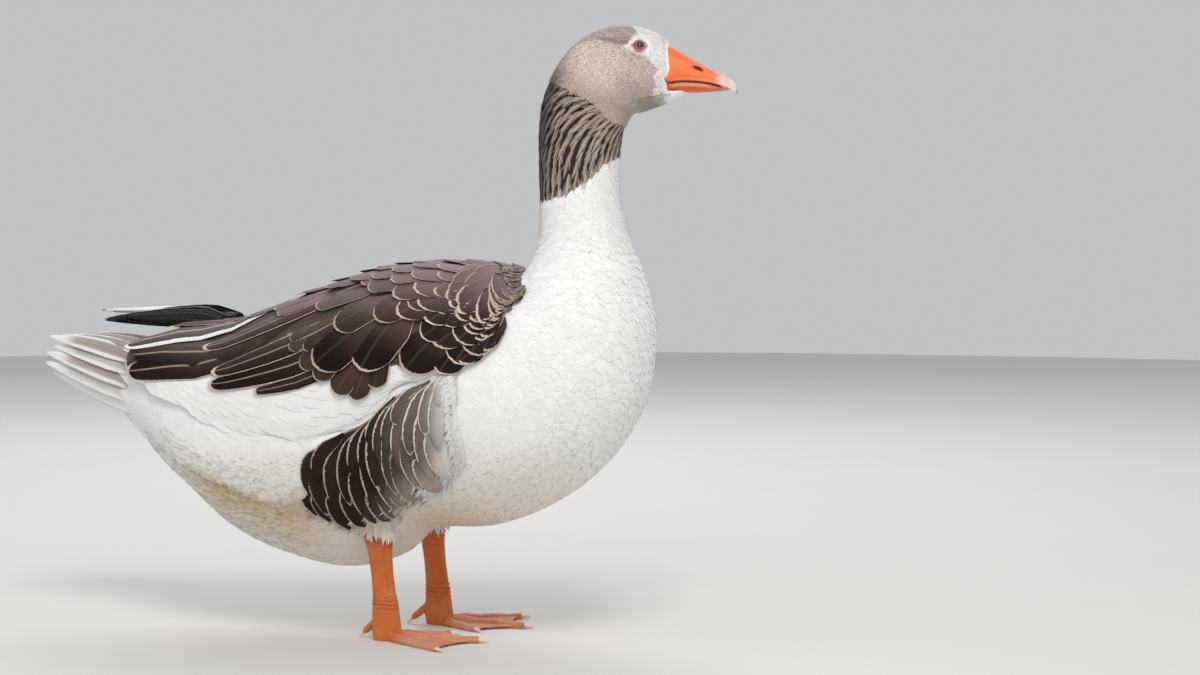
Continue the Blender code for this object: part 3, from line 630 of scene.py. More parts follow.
def lay(place, p, q, direction, length, half_width, cut, rise, rim=None, roll=0.0, curl=0.0):
    """Lays many like feathers along a surface from their roots at (p, q).

    rise is the height over the surface at the root and at the tip. roll lifts one edge, the upper one of a
    feather that points back, and curl bends the feather sideways.
    """
    n = len(p)
    sizes = (length, half_width, roll, curl)
    length, half_width, roll, curl = (np.broadcast_to(v, n)[:, None, None] for v in sizes)
    rows = np.broadcast_to(cut.rows[None, :, None], (n, len(cut.rows), len(cut.columns))).copy()
    columns = np.broadcast_to(cut.columns[None, None, :], rows.shape).copy()
    if rim is not None:
        rim = np.broadcast_to(rim, n)[:, None, None]
        inner = 1 - 1.6 * rim / half_width
        columns[:, :, [1]], columns[:, :, [-2]] = -inner, inner
        rows[:, [-2], :] = 1 - 2.4 * rim / length
    along, around = slopes(place, p, q)
    out = unit(np.cross(along, around))
    direction = unit(direction - (direction * out).sum(-1, keepdims=True) * out)
    across = np.cross(out, direction)
    jag = 1 + cut.jag * (chance.random(rows.shape) - 0.7) * cut.rows[None, :, None] ** 3
    x = length * rows * jag - half_width * cut.setback(rows, columns)
    y = half_width * columns * cut.width(rows) + curl * rows**2 * length
    step = direction[:, None, None] * x[..., None] + across[:, None, None] * y[..., None]
    p, q = step_on(place, p, q, step)
    root, tip = (np.broadcast_to(v, n)[:, None, None] for v in rise)
    height = root + (tip - root) * rows + cut.crown * half_width * (1 - columns**2) * cut.width(rows)
    height = height + roll * columns
    normal = unit(np.cross(*slopes(place, p, q)))
    rim_value = np.maximum(np.abs(columns) >= 0.999, rows >= 0.999) * (rows > 0.25)
    return Laid(place(p, q) + normal * height[..., None], normal, p, q, rim_value.astype(float))


def many_grids(name, count, rows, columns):
    """A mesh of equal grids, one for each feather, whose points run across it and then along it."""
    bm = bmesh.new()
    bmesh.ops.create_grid(bm, x_segments=columns - 1, y_segments=count * rows - 1, size=0.5)
    bm.faces.ensure_lookup_table()
    wide = columns - 1
    joins = [bm.faces[(k * rows + rows - 1) * wide + c] for k in range(count - 1) for c in range(wide)]
    bmesh.ops.delete(bm, geom=joins, context="FACES")
    return made_mesh(bm, name)


def flock(name, laid, finish, root_uv, colours, side=1, calm=0.0, **numbers):
    """Joins many like feathers into one mesh with its maps and tones.

    calm turns their shading towards the form under them, so that down reads as one soft surface.
    """
    mirror = np.array((1, side, 1))
    points, out = laid.points * mirror, laid.out * mirror
    n, rows, columns = points.shape[:3]
    own = unit(np.cross(np.gradient(points, axis=2), np.gradient(points, axis=1)))
    turned_in = (own * out).sum(-1).mean() < 0
    own = -own if turned_in else own
    mesh = many_grids(name, n, rows, columns)
    mesh.vertices.foreach_set("co", points.ravel())
    corner = corners(mesh)
    t, s = np.meshgrid(even(columns), even(rows))
    vane = np.stack([t, s], -1)
    for map_name, grid in (
        ("OFBake", root_uv[:, None, None] + (vane[None] - 0.5) * 0.003),
        ("Vane", np.broadcast_to(vane, (n, rows, columns, 2))),
    ):
        layer = mesh.uv_layers.new(name=map_name)
        layer.data.foreach_set("uv", grid.reshape(-1, 2)[corner].ravel())
    paint(mesh, "Plumage", np.broadcast_to(colours, points.shape).reshape(-1, 3))
    for key, values in numbers.items():
        if np.ndim(values) == 4:
            paint(mesh, key, np.broadcast_to(values, points.shape).reshape(-1, 3))
        else:
            paint(mesh, key, np.broadcast_to(values, points.shape[:3]).ravel())
    if turned_in:
        mesh.flip_normals()
    piece = dress(name, mesh, finish)
    if calm:
        mesh.normals_split_custom_set_from_vertices(unit(own * (1 - calm) + out * calm).reshape(-1, 3))
    return piece


def unwrap(ring, angle):
    """Where a place on the form lies in the unwrap that all plumage shares."""
    u = np.asarray(ring) / LAST_RING * MAP_SHARE + MAP_MARGIN
    return np.stack([u, np.asarray(angle) / (2 * pi) * MAP_SHARE + 0.5], -1)


def scatter(low, high, spacing, start=-pi, stop=pi):
    """Staggered roots over the form between two rings, about evenly spaced."""
    rings, angles = [], []
    ring, odd = low, 0
    while ring < high:
        around = skin_point(ring, even(65, start, stop))
        reach = np.linalg.norm(np.diff(around, axis=0), axis=1)
        run = np.concatenate([[0], np.cumsum(reach)])
        count = max(int(run[-1] / spacing), 3)
        places = (np.arange(count) + 0.5 * odd) / count * run[-1]
        angles.append(np.interp(places, run, even(65, start, stop)))
        rings.append(np.full(count, ring))
        step = np.linalg.norm(skin_point(ring + 0.05, pi / 2) - skin_point(ring, pi / 2)) / 0.05
        low_step = np.linalg.norm(skin_point(ring + 0.05, pi) - skin_point(ring, pi)) / 0.05
        ring += spacing / max(step, 0.7 * low_step, 1e-4)
        odd = 1 - odd
    ring, angle = np.concatenate(rings), np.concatenate(angles)
    along, around = slopes(skin_point, ring, angle)
    shake = chance.uniform(-0.22, 0.22, (2, len(ring))) * spacing
    ring = ring + shake[0] / np.linalg.norm(along, axis=-1)
    return ring, angle + shake[1] / np.maximum(np.linalg.norm(around, axis=-1), 1e-4)


def backward(ring, angle, swing=0.0):
    """The lie of the coat: from bill to tail, turned by swing, in radians, down the sides."""
    along, around = slopes(skin_point, ring, angle)
    swing = np.asarray(swing)[..., None]
    return -unit(along) * np.cos(swing) + unit(around) * np.sin(swing) * np.sign(np.sin(angle))[..., None]


def in_wing(ring, angle, margin=0.0):
    """Where a wing or a flank lies over the form."""
    degrees = degrees_down(angle)
    top, low = line(WING_TOP, ring), line(WING_LOW, ring)
    wing = (ring > 4.8 + margin) & (ring < 13.2 - margin)
    wing &= (degrees > top + 20 * margin) & (degrees < low - 14 * margin)
    flank = (ring > 7.95 + margin) & (ring < 11.1 - margin) & (degrees > low - 3)
    return wing | (flank & (degrees < line(FLANK_LOW, ring) - 12 * margin))


def coat_depth(ring, degrees):
    """How far the skin lies inside the outline of the coat."""
    depth = 0.0012 + 0.0008 * smooth((14 - ring) / 2) * smooth((degrees - 90) / 40)
    depth = depth + (0.0036 - depth) * smooth((ring - 17.6) / 0.8)
    depth = depth + (0.0009 - depth) * smooth((ring - 21.9) / 1.0)
    return depth + 0.004 * smooth((3.2 - ring) / 1.2)


def pads(ring, angle):
    """How far wings and flanks lift the skin under them."""
    degrees = degrees_down(angle)
    u, v = share_of(WING_RINGS, ring), down_wing(ring, degrees)
    wing = np.where((v > 0) & (v < 1), wing_bulge(ring) * swell(u, v, WING_BULGE_AT), 0)
    wing = wing * smooth((ring - 6) / 1.2)
    u, v = share_of(FLANK_RINGS, ring), down_flank(ring, degrees)
    inside = (u > 0) & (u < 1) & (v > 0) & (v < 1)
    return np.maximum(wing, np.where(inside, FLANK_BULGE * swell(u, v), 0)) * 0.82


def eye_frames():
    """The middle of each eye's opening with its forward, upward and outward directions."""
    frames = []
    for side in (1, -1):
        along, around = (unit(v) for v in slopes(skin_point, EYE_RING, EYE_ANGLE * side))
        out = unit(np.cross(along, around))
        forward = unit(along - 0.02 * out)
        frames.append((skin_point(EYE_RING, EYE_ANGLE * side), forward, np.cross(out, forward) * side, out))
    return frames


EYES = eye_frames()
OPENING = (0.0055, 0.0056)


def from_eye(points):
    """Distance from the nearer eye, in half openings: 1 on the edge of its lids."""
    near = np.full(points.shape[:-1], 99.0)
    for centre, forward, up, out in EYES:
        away = points - centre
        x, y, z = ((away * axis).sum(-1) for axis in (forward, up, out))
        near = np.minimum(near, np.sqrt((x / OPENING[0]) ** 2 + (y / OPENING[1]) ** 2 + (z / 0.02) ** 2))
    return near


def relief(ring, angle):
    """Folds and swellings of the coat: face, rump and the fold over the paunch."""
    degrees = degrees_down(angle)
    below = degrees - line(REAR_FOLD, ring)
    at_rear = smooth((ring - 4.7) / 0.7) * smooth((8.7 - ring) / 0.8)
    lip = np.where(below < 0, hump(below, 17) * 0.0052, hump(below, 2.6) * 0.0068 - 0.0016)
    crease = -hump(degrees - 96 + 9 * (ring - 3), 6) * smooth((ring - 0.6) / 1) * smooth((4.2 - ring) / 1)
    dent = -hump(below - 24, 16) * 0.0012
    rear = at_rear * (lip + dent * (below > 0)) + crease * 0.0014
    keel = -hump(180 - degrees, 9) * 0.002 * smooth((ring - 5) / 1.5) * smooth((9 - ring) / 1.5)
    return np.where(ring > 20, face_relief(ring, angle, degrees), rear + keel)


# the ring where the face ends and the bill begins, by degrees down from the forehead
BILL_BASE = [
    (0, 28.4), (86, 28.2), (93, 27.85), (100, 27.4), (107, 27.0), (113, 26.88), (118, 27.0), (130, 26.9),
    (138, 26.75), (144, 28.4),
]


def face_relief(ring, angle, degrees):
    """Brow, cheek, the lids' mound and the fold between cheek and chin."""
    brow = hump(ring - 25.0, 0.9) * hump(degrees - 44, 8) * 0.0012
    hollow = -hump(ring - 26.7, 0.6) * hump(degrees - 62, 14) * 0.0008
    cheek = hump(ring - 24.6, 1.1) * hump(degrees - 100, 20) * 0.0014
    seam = -hump(degrees - 52, 5) * 0.0007 * smooth((ring - 22.5) / 1) * smooth((24.8 - ring) / 0.8)
    fold = -hump(degrees - line(CHIN_EDGE, ring) + 1, 2.6) * smooth((ring - 22.9) / 0.8) * 0.0011
    near = from_eye(skin_point(ring, angle))
    mound = hump(near - 1.30, 0.52) * 0.0030 * (near > 1.3) + (near <= 1.3) * (0.0030 - (1.3 - near) * 0.009)
    notch = smooth((ring - line(BILL_BASE, degrees) + 0.05) / 0.25) * 0.0026
    fold = fold * smooth((26.6 - ring) / 0.6)
    return brow + hollow + cheek + seam + fold + np.maximum(mound, -0.006) - notch


def body(ring, angle):
    """The outline of the coat, with its folds."""
    return on_skin(ring, angle, relief(ring, angle))


def skin():
    """One skin from the tail to the bill, under all the plumage."""
    rings = np.concatenate([even(150, 0, 17)[:-1], even(230, 17, LAST_RING)])

    def place(s, t):
        ring, angle = np.interp(s, even(len(rings)), rings), (t - 0.5) * 2 * pi
        degrees = degrees_down(angle)
        points = on_skin(ring, angle, pads(ring, angle) - coat_depth(ring, degrees) + relief(ring, angle))
        middle = (skin_point(ring, 0 * angle) + skin_point(ring, 0 * angle + pi)) / 2
        return points + (middle - points) * (0.5 * smooth((3.0 - ring) / 1.6))[..., None]

    def bake(s, t):
        return unwrap(np.interp(s, even(len(rings)), rings), (t - 0.5) * 2 * pi)

    nodes = ["head", "neck_upper", "neck_lower", "trunk", "tail"]
    nodes += [f"{part}_{side}" for part in ("wing", "flank") for side in ("left", "right")]
    piece = swept("skin", place, len(rings) - 1, 250, skin_finish(), bake=bake)
    ring, angle = coordinates(piece.data)
    points = mesh_points(piece.data)
    degrees = degrees_down(angle)
    tone = markings(ring, angle, points)
    # the skin under the neck's ropes is painted near-black as the shade in the furrows between them
    grey = smooth((points[:, 2] - line(NECK_EDGE_Z, degrees) - 0.004 - 0.003 * ripple(points, 500)) / 0.010)
    tone = mix(tone, FURROW_SHADE, grey * smooth((22.6 - ring) / 0.9) * (ring > 17))
    paint(piece.data, "Plumage", tone)
    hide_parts(*nodes)


def coordinates(mesh):
    """Ring and angle of each point of a mesh that carries the plumage's unwrap."""
    uv = np.empty(len(mesh.loops) * 2)
    mesh.uv_layers["OFBake"].data.foreach_get("uv", uv)
    place_of = np.zeros((len(mesh.vertices), 2))
    place_of[corners(mesh)] = uv.reshape(-1, 2)
    ring = (place_of[:, 0] - MAP_MARGIN) / MAP_SHARE * LAST_RING
    return ring, (place_of[:, 1] - 0.5) / MAP_SHARE * 2 * pi


def spot(laid, row):
    """The markings at each feather, read at one of its rows."""
    return markings(*(part[:, -1:, row : row + 1] for part in (laid.p, laid.q, laid.points)))


def varied(n, low, high):
    return chance.uniform(low, high, (n, 1, 1, 1))


def white_plumes(finish):
    """Soft contour feathers of the lower neck, breast, belly, rump and undertail."""
    for name, low, high, spacing, length, half_width in (
        ("plumes_rear", 2.0, 8.9, 0.0064, 0.022, 0.0066),
        ("plumes_middle", 8.9, 13.0, 0.0066, 0.019, 0.0064),
        ("plumes_breast", 13.0, 17.4, 0.0060, 0.015, 0.0054),
        ("plumes_neck", 17.3, 20.4, 0.0030, 0.0085, 0.0026),
    ):
        ring, angle = scatter(low, high, spacing)
        points = skin_point(ring, angle)
        degrees = degrees_down(angle)
        keep = ~in_wing(ring, angle, 0.3)
        keep &= (points[:, 2] < line(NECK_EDGE_Z, degrees) + 0.005) | (ring < 17)
        keep &= ~((ring > 5.2) & (ring < 14.3) & (degrees < 24))
        keep &= ring > 4.4 - 2.0 * smooth((degrees - 80) / 40)
        ring, angle, degrees = ring[keep], angle[keep], degrees[keep]
        size = chance.uniform(0.85, 1.25, len(ring))
        size = size * (1 - 0.18 * smooth((ring - 15.5) / 1.8) * (spacing > 0.004))
        swing = chance.normal(0.0, 0.10, len(ring)) + 0.25 * (ring < 8)
        below = degrees - line(REAR_FOLD, ring)
        loose = hump(below + 3, 4) * (ring > 5) * (ring < 8.6)
        tip = 0.00002 + 0.00008 * chance.random(len(ring)) + 0.0014 * loose * chance.random(len(ring))
        way = backward(ring, angle, swing + 0.9 * loose)
        laid = lay(body, ring, angle, way, length * size, half_width * size, PLUME, (-0.0007, tip))
        tone = spot(laid, 2) * varied(len(ring), 0.965, 1.02)
        piece = flock(name, laid, finish, unwrap(ring, angle), tone, calm=0.95)


def hair_locks(finish):
    """Loose hair-like locks of the belly, paunch and vent."""
    for name, low, high, spacing in (("locks_rear", 4.6, 8.2, 0.0035), ("locks_belly", 8.2, 13.5, 0.0048)):
        ring, angle = scatter(low, high, spacing)
        degrees = degrees_down(angle)
        below = degrees - line(REAR_FOLD, ring)
        lip = (below > -16) & (ring < 8.6) & (ring > 5.2)
        keep = ~in_wing(ring, angle, 0.15) & ((degrees > 100 + 4 * np.abs(ring - 8)) | lip)
        ring, angle, degrees, below = ring[keep], angle[keep], degrees[keep], below[keep]
        size = chance.uniform(0.7, 1.35, len(ring))
        rear = smooth((8.5 - ring) / 2)
        loose = hump(below + 2, 3.5) * rear
        swing = chance.normal(0.0, 0.25, len(ring)) + 0.15 * rear + 1.0 * loose
        tip = 0.0003 + 0.0013 * rear * chance.random(len(ring)) + 0.0018 * loose
        way, curl = backward(ring, angle, swing), chance.normal(0, 0.14, len(ring))
        laid = lay(body, ring, angle, way, 0.0150 * size, 0.0009 * size, LOCK, (-0.0022, tip), curl=curl)
        tone = spot(laid, 1) * varied(len(ring), 0.80, 1.08)
        piece = flock(name, laid, finish, unwrap(ring, angle), tone, calm=0.64)


def head_plush(finish):
    """Tiny tufts over the head, lying back from the bill."""
    for name, low, high in (("plush_nape", 21.1, 24.3), ("plush_face", 24.3, 27.95)):
        ring, angle = scatter(low, high, 0.00125)
        near = from_eye(skin_point(ring, angle))
        degrees = degrees_down(angle)
        clear = (near > 1.10) & (ring > 21.85 - 0.7 * smooth((degrees - 95) / 40))
        clear &= ring < line(BILL_BASE, degrees) + 0.18 + 0.10 * ripple(skin_point(ring, angle), 420)
        ring, angle, near = ring[clear], angle[clear], near[clear]
        degrees = degrees_down(angle)
        size = chance.uniform(0.8, 1.25, len(ring)) * (0.72 + 0.6 * smooth((25.5 - ring) / 3))
        size = size * (1 - 0.45 * (near < 2))
        swing = 0.35 * smooth((25.5 - ring) / 2) * smooth((degrees - 30) / 40)
        swing = swing + chance.normal(0, 0.16, len(ring))
        lift = relief(ring, angle)
        laid = lay(
            skin_point, ring, angle, backward(ring, angle, swing), 0.0042 * size, 0.00080 * size, PLUSH,
            (lift - 0.0010, lift + 0.0001 + 0.0005 * chance.random(len(ring))),
        )
        tone = spot(laid, 1) * varied(len(ring), 0.86, 1.10)
        piece = flock(name, laid, finish, unwrap(ring, angle), tone, calm=0.55)


# how low the chin hangs, by its place forward of the neck's axis
CHIN_LOW = [
    (0.064, 0.5205), (0.0675, 0.5207), (0.081, 0.5236), (0.0885, 0.5256), (0.0935, 0.5276), (0.0985, 0.5297),
    (0.1035, 0.5318), (0.109, 0.5346),
]
CHIN_TOP, CHIN_HALF_WIDTH = 0.5385, 0.0165


def chin_face(u, v):
    """The feathered wedge under the lower bill: u forwards and v from the left edge, -1, to the right, 1."""
    u, v = np.broadcast_arrays(np.asarray(u, float), np.asarray(v, float))
    x = 0.064 + 0.0450 * u
    half = CHIN_HALF_WIDTH * np.sqrt(np.clip(1.02 - np.clip(u, 0, 1.2) ** 2.4, 0, 1))
    z = CHIN_TOP - (CHIN_TOP - line(CHIN_LOW, x)) * np.cos(v * pi / 2 * 0.98) ** 0.75
    return turned(NECK_AXIS_X + x, -half * np.sin(v * pi / 2), z)


def chin(finish):
    """The feathered wedge of the chin, which runs forward under the bill."""

    def place(s, t):
        v = np.where(t < 0.8, t / 0.4 - 1, 1 - (t - 0.8) / 0.1)
        points = chin_face(s, np.clip(v, -1, 1))
        middle = chin_face(s, 0 * v)
        lifted = np.where(t < 0.8, 0.0, np.sin((t - 0.8) / 0.2 * pi) * 0.001)
        return points + (middle - points) * 0.03 + np.array((0, 0, 1.0)) * lifted[..., None]

    def bake(s, t):
        return unwrap(25.5 + 2.4 * s, pi + (np.clip(t, 0, 0.8) / 0.4 - 1) * 0.7)

    wedge = swept("chin", place, 40, 48, finish, bake=bake)
    paint(wedge.data, "Plumage", np.broadcast_to(WHITE * 0.93, (len(wedge.data.vertices), 3)))


def neck_slant(ring):
    """How far, in degrees, a furrow has wandered forward by a ring of the neck."""
    above = np.clip(ring - 19.3, 0, 3.6)
    return 4.0 * above + 7.6 * above**1.75


def neck_locks(finish):
    """The furrowed upper neck: ropes of feathers in slanting rows, painted lit along their crests and shaded
    down their sides, over the skin painted dark as the shade in the furrows.
    """
    pitch, rings, angles = 11.0, [], []
    for side in (1, -1):
        for row in range(-10, 17):
            offset = chance.uniform(0, 0.40)
            for ring in np.arange(17.9 + offset, 22.9, 0.34):
                degrees = row * pitch + neck_slant(ring) + chance.normal(0, 0.8)
                if 1 < degrees < 179:
                    rings.append(ring + chance.normal(0, 0.06))
                    angles.append(radians(degrees) * side)
    ring, angle = np.array(rings), np.array(angles)
    degrees = degrees_down(angle)
    along, around = slopes(skin_point, ring, angle)
    lean = (neck_slant(ring + 0.1) - neck_slant(ring - 0.1)) / 0.2
    direction = -along - around * (np.radians(lean) * np.sign(angle))[:, None]
    tip_z = skin_point(ring - 0.42, angle)[:, 2]
    keep = tip_z > line(NECK_EDGE_Z, degrees) - 0.012 * chance.random(len(ring))
    keep &= ring < 22.3 + 1.0 * smooth((48 - degrees) / 25) - 0.25 * smooth((degrees - 95) / 30)
    ring, angle, direction, degrees = ring[keep], angle[keep], direction[keep], degrees[keep]
    size = chance.uniform(0.85, 1.2, len(ring)) * (1 - 0.2 * smooth((degrees - 120) / 50))
    length = 0.0205 * size * (0.72 + 0.28 * smooth((22.2 - ring) / 1.5))
    spread = np.linalg.norm(slopes(skin_point, ring, angle)[1], axis=-1) * radians(pitch)
    slim = 0.27 * spread * np.clip(size, 0.9, 1.1)
    fade = smooth((22.7 - ring) / 0.9)
    laid = lay(
        skin_point, ring, angle, direction, length, slim, ROPE,
        (-0.0030 + 0.0012 * (1 - fade), -0.0010 + 0.0009 * chance.random(len(ring)) - 0.0006 * fade),
        curl=chance.normal(0.0, 0.05, len(ring)),
    )
    tone = markings(laid.p, laid.q, laid.points) * varied(len(ring), 0.80, 1.14)
    # painted light along each rope's crest and painted shade down its sides
    crest = even(tone.shape[2], -1, 1)[None, None, :] * np.sign(angle)[:, None, None]
    tone = tone * (0.22 + 0.86 * hump(crest - 0.1, 0.55))[..., None]
    piece = flock("neck_locks", laid, finish, unwrap(ring, angle), tone)
    strand = chance.integers(0, len(ring), 5200)
    side_step = chance.uniform(-0.85, 0.85, len(strand)) * slim[strand]
    forth = chance.uniform(0.0, 0.45, len(strand))
    along, around = slopes(skin_point, ring[strand], angle[strand])
    way = unit(direction[strand])
    across = np.cross(unit(np.cross(along, around)), way)
    step = way * (forth * length[strand])[:, None] + across * side_step[:, None]
    p, q = step_on(skin_point, ring[strand], angle[strand], step)
    height = -0.0030 + 0.95 * slim[strand] * (1 - (side_step / slim[strand]) ** 2) + 0.0008
    way = way + across * chance.normal(0, 0.13, len(p))[:, None]
    laid = lay(skin_point, p, q, way, 0.0088, 0.00042, LOCK, (height - 0.0008, height + 0.0002))
    tone = spot(laid, 1) * varied(len(p), 0.6, 1.2)
    piece = flock("neck_hairs", laid, finish, unwrap(p, q), tone, calm=0.3)


# columns of scale-like feathers on the folded wing: place along the wing at its upper edge, how far the
# column leans forward over the wing's depth, its first and last place down the wing, and its feathers' number
SADDLE_COLUMNS = [
    (0.395, 0.02, -0.10, 0.20, 3), (0.455, 0.03, -0.10, 0.24, 3), (0.510, 0.03, -0.08, 0.30, 3),
    (0.555, 0.10, -0.06, 0.40, 4), (0.600, 0.18, -0.04, 0.68, 6), (0.652, 0.155, -0.04, 0.97, 8),
    (0.700, 0.145, -0.04, 1.00, 9), (0.742, 0.135, -0.04, 0.99, 10), (0.780, 0.125, -0.04, 0.98, 10),
    (0.815, 0.112, -0.04, 0.96, 9), (0.848, 0.098, -0.04, 0.94, 9), (0.880, 0.085, -0.04, 0.92, 8),
    (0.908, 0.070, -0.04, 0.90, 7), (0.935, 0.055, -0.03, 0.86, 6), (0.960, 0.040, 0.0, 0.82, 5),
    (0.985, 0.025, 0.05, 0.76, 4),
]
# single large feathers, rear and low ones first: place of the tip along and down the wing, length, half
# width, droop in degrees, darkness
SADDLE_FEATHERS = [
    (0.425, 0.578, 0.045, 0.0100, 36, 0.35), (0.453, 0.682, 0.055, 0.0130, 38, 0.35),
    (0.485, 0.758, 0.055, 0.0140, 40, 0.35), (0.522, 0.846, 0.055, 0.0145, 42, 0.35),
    (0.560, 0.902, 0.055, 0.0145, 44, 0.35), (0.610, 0.922, 0.050, 0.0130, 44, 0.45),
    (0.422, 0.522, 0.035, 0.0065, 28, 0.55), (0.432, 0.566, 0.035, 0.0065, 30, 0.55),
    (0.453, 0.590, 0.042, 0.0085, 30, 0.6), (0.480, 0.690, 0.098, 0.0255, 27, 1.0),
    (0.575, 0.790, 0.094, 0.0265, 30, 1.0), (0.680, 0.926, 0.080, 0.0235, 33, 0.95),
    (0.748, 1.000, 0.062, 0.0185, 34, 0.95), (0.800, 0.990, 0.055, 0.0170, 38, 0.9),
    (0.710, 0.770, 0.060, 0.0190, 34, 0.85), (0.510, 0.526, 0.086, 0.0195, 22, 0.75),
    (0.598, 0.574, 0.078, 0.0205, 25, 0.70), (0.667, 0.558, 0.060, 0.0180, 30, 0.75),
    (0.360, 0.200, 0.085, 0.0125, 6, 0.30), (0.300, 0.100, 0.085, 0.0125, 5, 0.25),
    (0.375, 0.280, 0.080, 0.0125, 8, 0.35), (0.455, 0.340, 0.090, 0.0130, 9, 0.35),
    (0.535, 0.262, 0.078, 0.0130, 11, 0.45),
]
# long wing feathers past the rump: place of the tip and of the root, half width, darkness
TERTIALS = [
    ((0.066, 0.60), (0.48, 0.30), 0.0200, 0.9), ((0.045, 0.870), (0.46, 0.30), 0.0165, 0.9),
    ((0.365, 0.79), (0.62, 0.66), 0.0085, 0.55), ((0.272, 0.750), (0.62, 0.56), 0.0130, 1.0),
    ((0.275, 0.655), (0.60, 0.42), 0.0130, 0.6), ((0.240, 0.430), (0.62, 0.20), 0.0125, 0.6),
    ((0.030, 0.355), (0.44, -0.03), 0.0185, 0.45), ((0.120, 0.040), (0.50, -0.04), 0.0120, 0.35),
]
WHITE_EDGED = 6


def saddle_tone(laid, darkness):
    """Chocolate brown, painted lilac as sky light where it faces up, and nearly black low down towards the
    tip, less so where painted lit.
    """
    rows = even(laid.points.shape[1])[None, :, None]
    # painted light: feathers that face up are turned lilac as if lit by the sky
    lit = smooth((laid.out[..., 2] - 0.30) / 0.55)
    tone = mix(SADDLE, SADDLE_SKYLIT, lit * 0.9)
    darkness = np.asarray(darkness)[:, None, None]
    return mix(tone, SADDLE_DARK, darkness * smooth((rows - 0.2) / 0.45) * (1 - 0.7 * lit))


def wing_direction(u, v, droop):
    """Back along the wing, turned down by droop in degrees."""
    along, around = slopes(wing_face, u, v)
    along = unit(along)
    down = unit(around - (around * along).sum(-1, keepdims=True) * along)
    droop = np.radians(np.asarray(droop, float))[:, None]
    return -along * np.cos(droop) + down * np.sin(droop)


def root_of(place, tip_p, tip_q, direction, length):
    """The root that puts a feather's tip where it belongs, found along the surface in short steps."""
    p, q = tip_p.copy(), tip_q.copy()
    for _ in range(6):
        p, q = step_on(place, p, q, -direction * (length / 6)[:, None])
    return p, q


def wing_columns():
    """Tips, sizes and droop of the scale-like feathers in their columns."""
    out = []
    for i, (start, lean, first, last, count) in enumerate(SADDLE_COLUMNS):
        ahead = SADDLE_COLUMNS[i + 1][0] - start if i + 1 < len(SADDLE_COLUMNS) else 0.02
        for k in reversed(range(count)):
            share = (k + 0.5 * (i % 2)) / count
            v = first + (last - first) * share**0.95
            u = start + lean * max(v, 0) + chance.normal(0, 0.0022)
            depth = np.linalg.norm(wing_face(u, v + 0.02) - wing_face(u, v - 0.02)) / 0.04
            high = (last - first) / count * depth
            reach = ahead * np.linalg.norm(wing_face(u + 0.02, v) - wing_face(u - 0.02, v)) / 0.04
            half_width = min(max(high * 0.86, 0.0046), 0.021) * chance.uniform(0.95, 1.08)
            length = min(max(reach * 2.5, 0.018, half_width * 2.3), 0.060)
            out.append((u, v, length, half_width, 12 + 24 * max(v, 0) + chance.normal(0, 3), 0.5 + 0.4 * v))
    return out


def wing_uv(u, v, side):
    ring = ring_at(WING_RINGS, u)
    return unwrap(ring, wing_angle(ring, v) * side)


def flank_uv(u, v, side):
    ring = ring_at(FLANK_RINGS, u)
    return unwrap(ring, np.radians(line(WING_LOW, ring) + 40 * v) * side)


def wing_plumage(finish, side, name):
    """Scapulars and coverts of one folded wing: the large ones one by one and the small ones in columns."""
    for kind, feathers in (("large", SADDLE_FEATHERS), ("small", wing_columns())):
        u, v, length, half_width, droop, darkness = np.array(feathers).T
        droop = droop + chance.normal(0, 1, len(u))
        p, q = root_of(wing_face, u, v, wing_direction(u, v, droop), length)
        wide_rim = smooth((u - 0.50) / 0.2) * smooth((v - 0.1) / 0.5) * (1 - 0.6 * smooth((u - 0.80) / 0.12))
        rim = 0.0007 + 0.0004 * wide_rim + 0.0002 * chance.random(len(u))
        big = smooth((half_width - 0.005) / 0.015)
        rise = (-0.0040 - 0.0014 * big, 0.0003 + 0.0009 * big)
        if kind == "large":
            root, tip = np.stack([p, q], -1), np.stack([u, v], -1)
            laid = lay_to(wing_face, root, tip, half_width, BIG, rise, rim, -0.09)
        else:
            direction = wing_direction(p, q, droop)
            roll = (-0.0003 - 0.075 * half_width) * smooth((v + 0.05) / 0.25)
            laid = lay(wing_face, p, q, direction, length, half_width, BIG, rise, rim=rim, roll=roll)
            keep = (laid.q.max((1, 2)) < 1.12) & (np.ptp(laid.points, axis=(1, 2)).max(-1) < 1.9 * length)
            laid = Laid(*(part[keep] for part in laid))
            u, v, p, q, darkness = u[keep], v[keep], p[keep], q[keep], darkness[keep]
        tone = saddle_tone(laid, darkness) * varied(len(u), 0.85, 1.15)
        rims = mix(RIM * 0.62, RIM * 0.95, smooth((u - 0.45) / 0.3) * (0.35 + 0.65 * smooth((v - 0.1) / 0.5)))
        rims = rims[:, None, None] * varied(len(u), 0.85, 1.15)
        root_uv = wing_uv(p, q, side)
        piece = flock(
            f"saddle_{kind}_{name}", laid, finish, root_uv, tone, side,
            Rim=laid.rim, Rim_tone=rims, Shaft=0.12,
        )


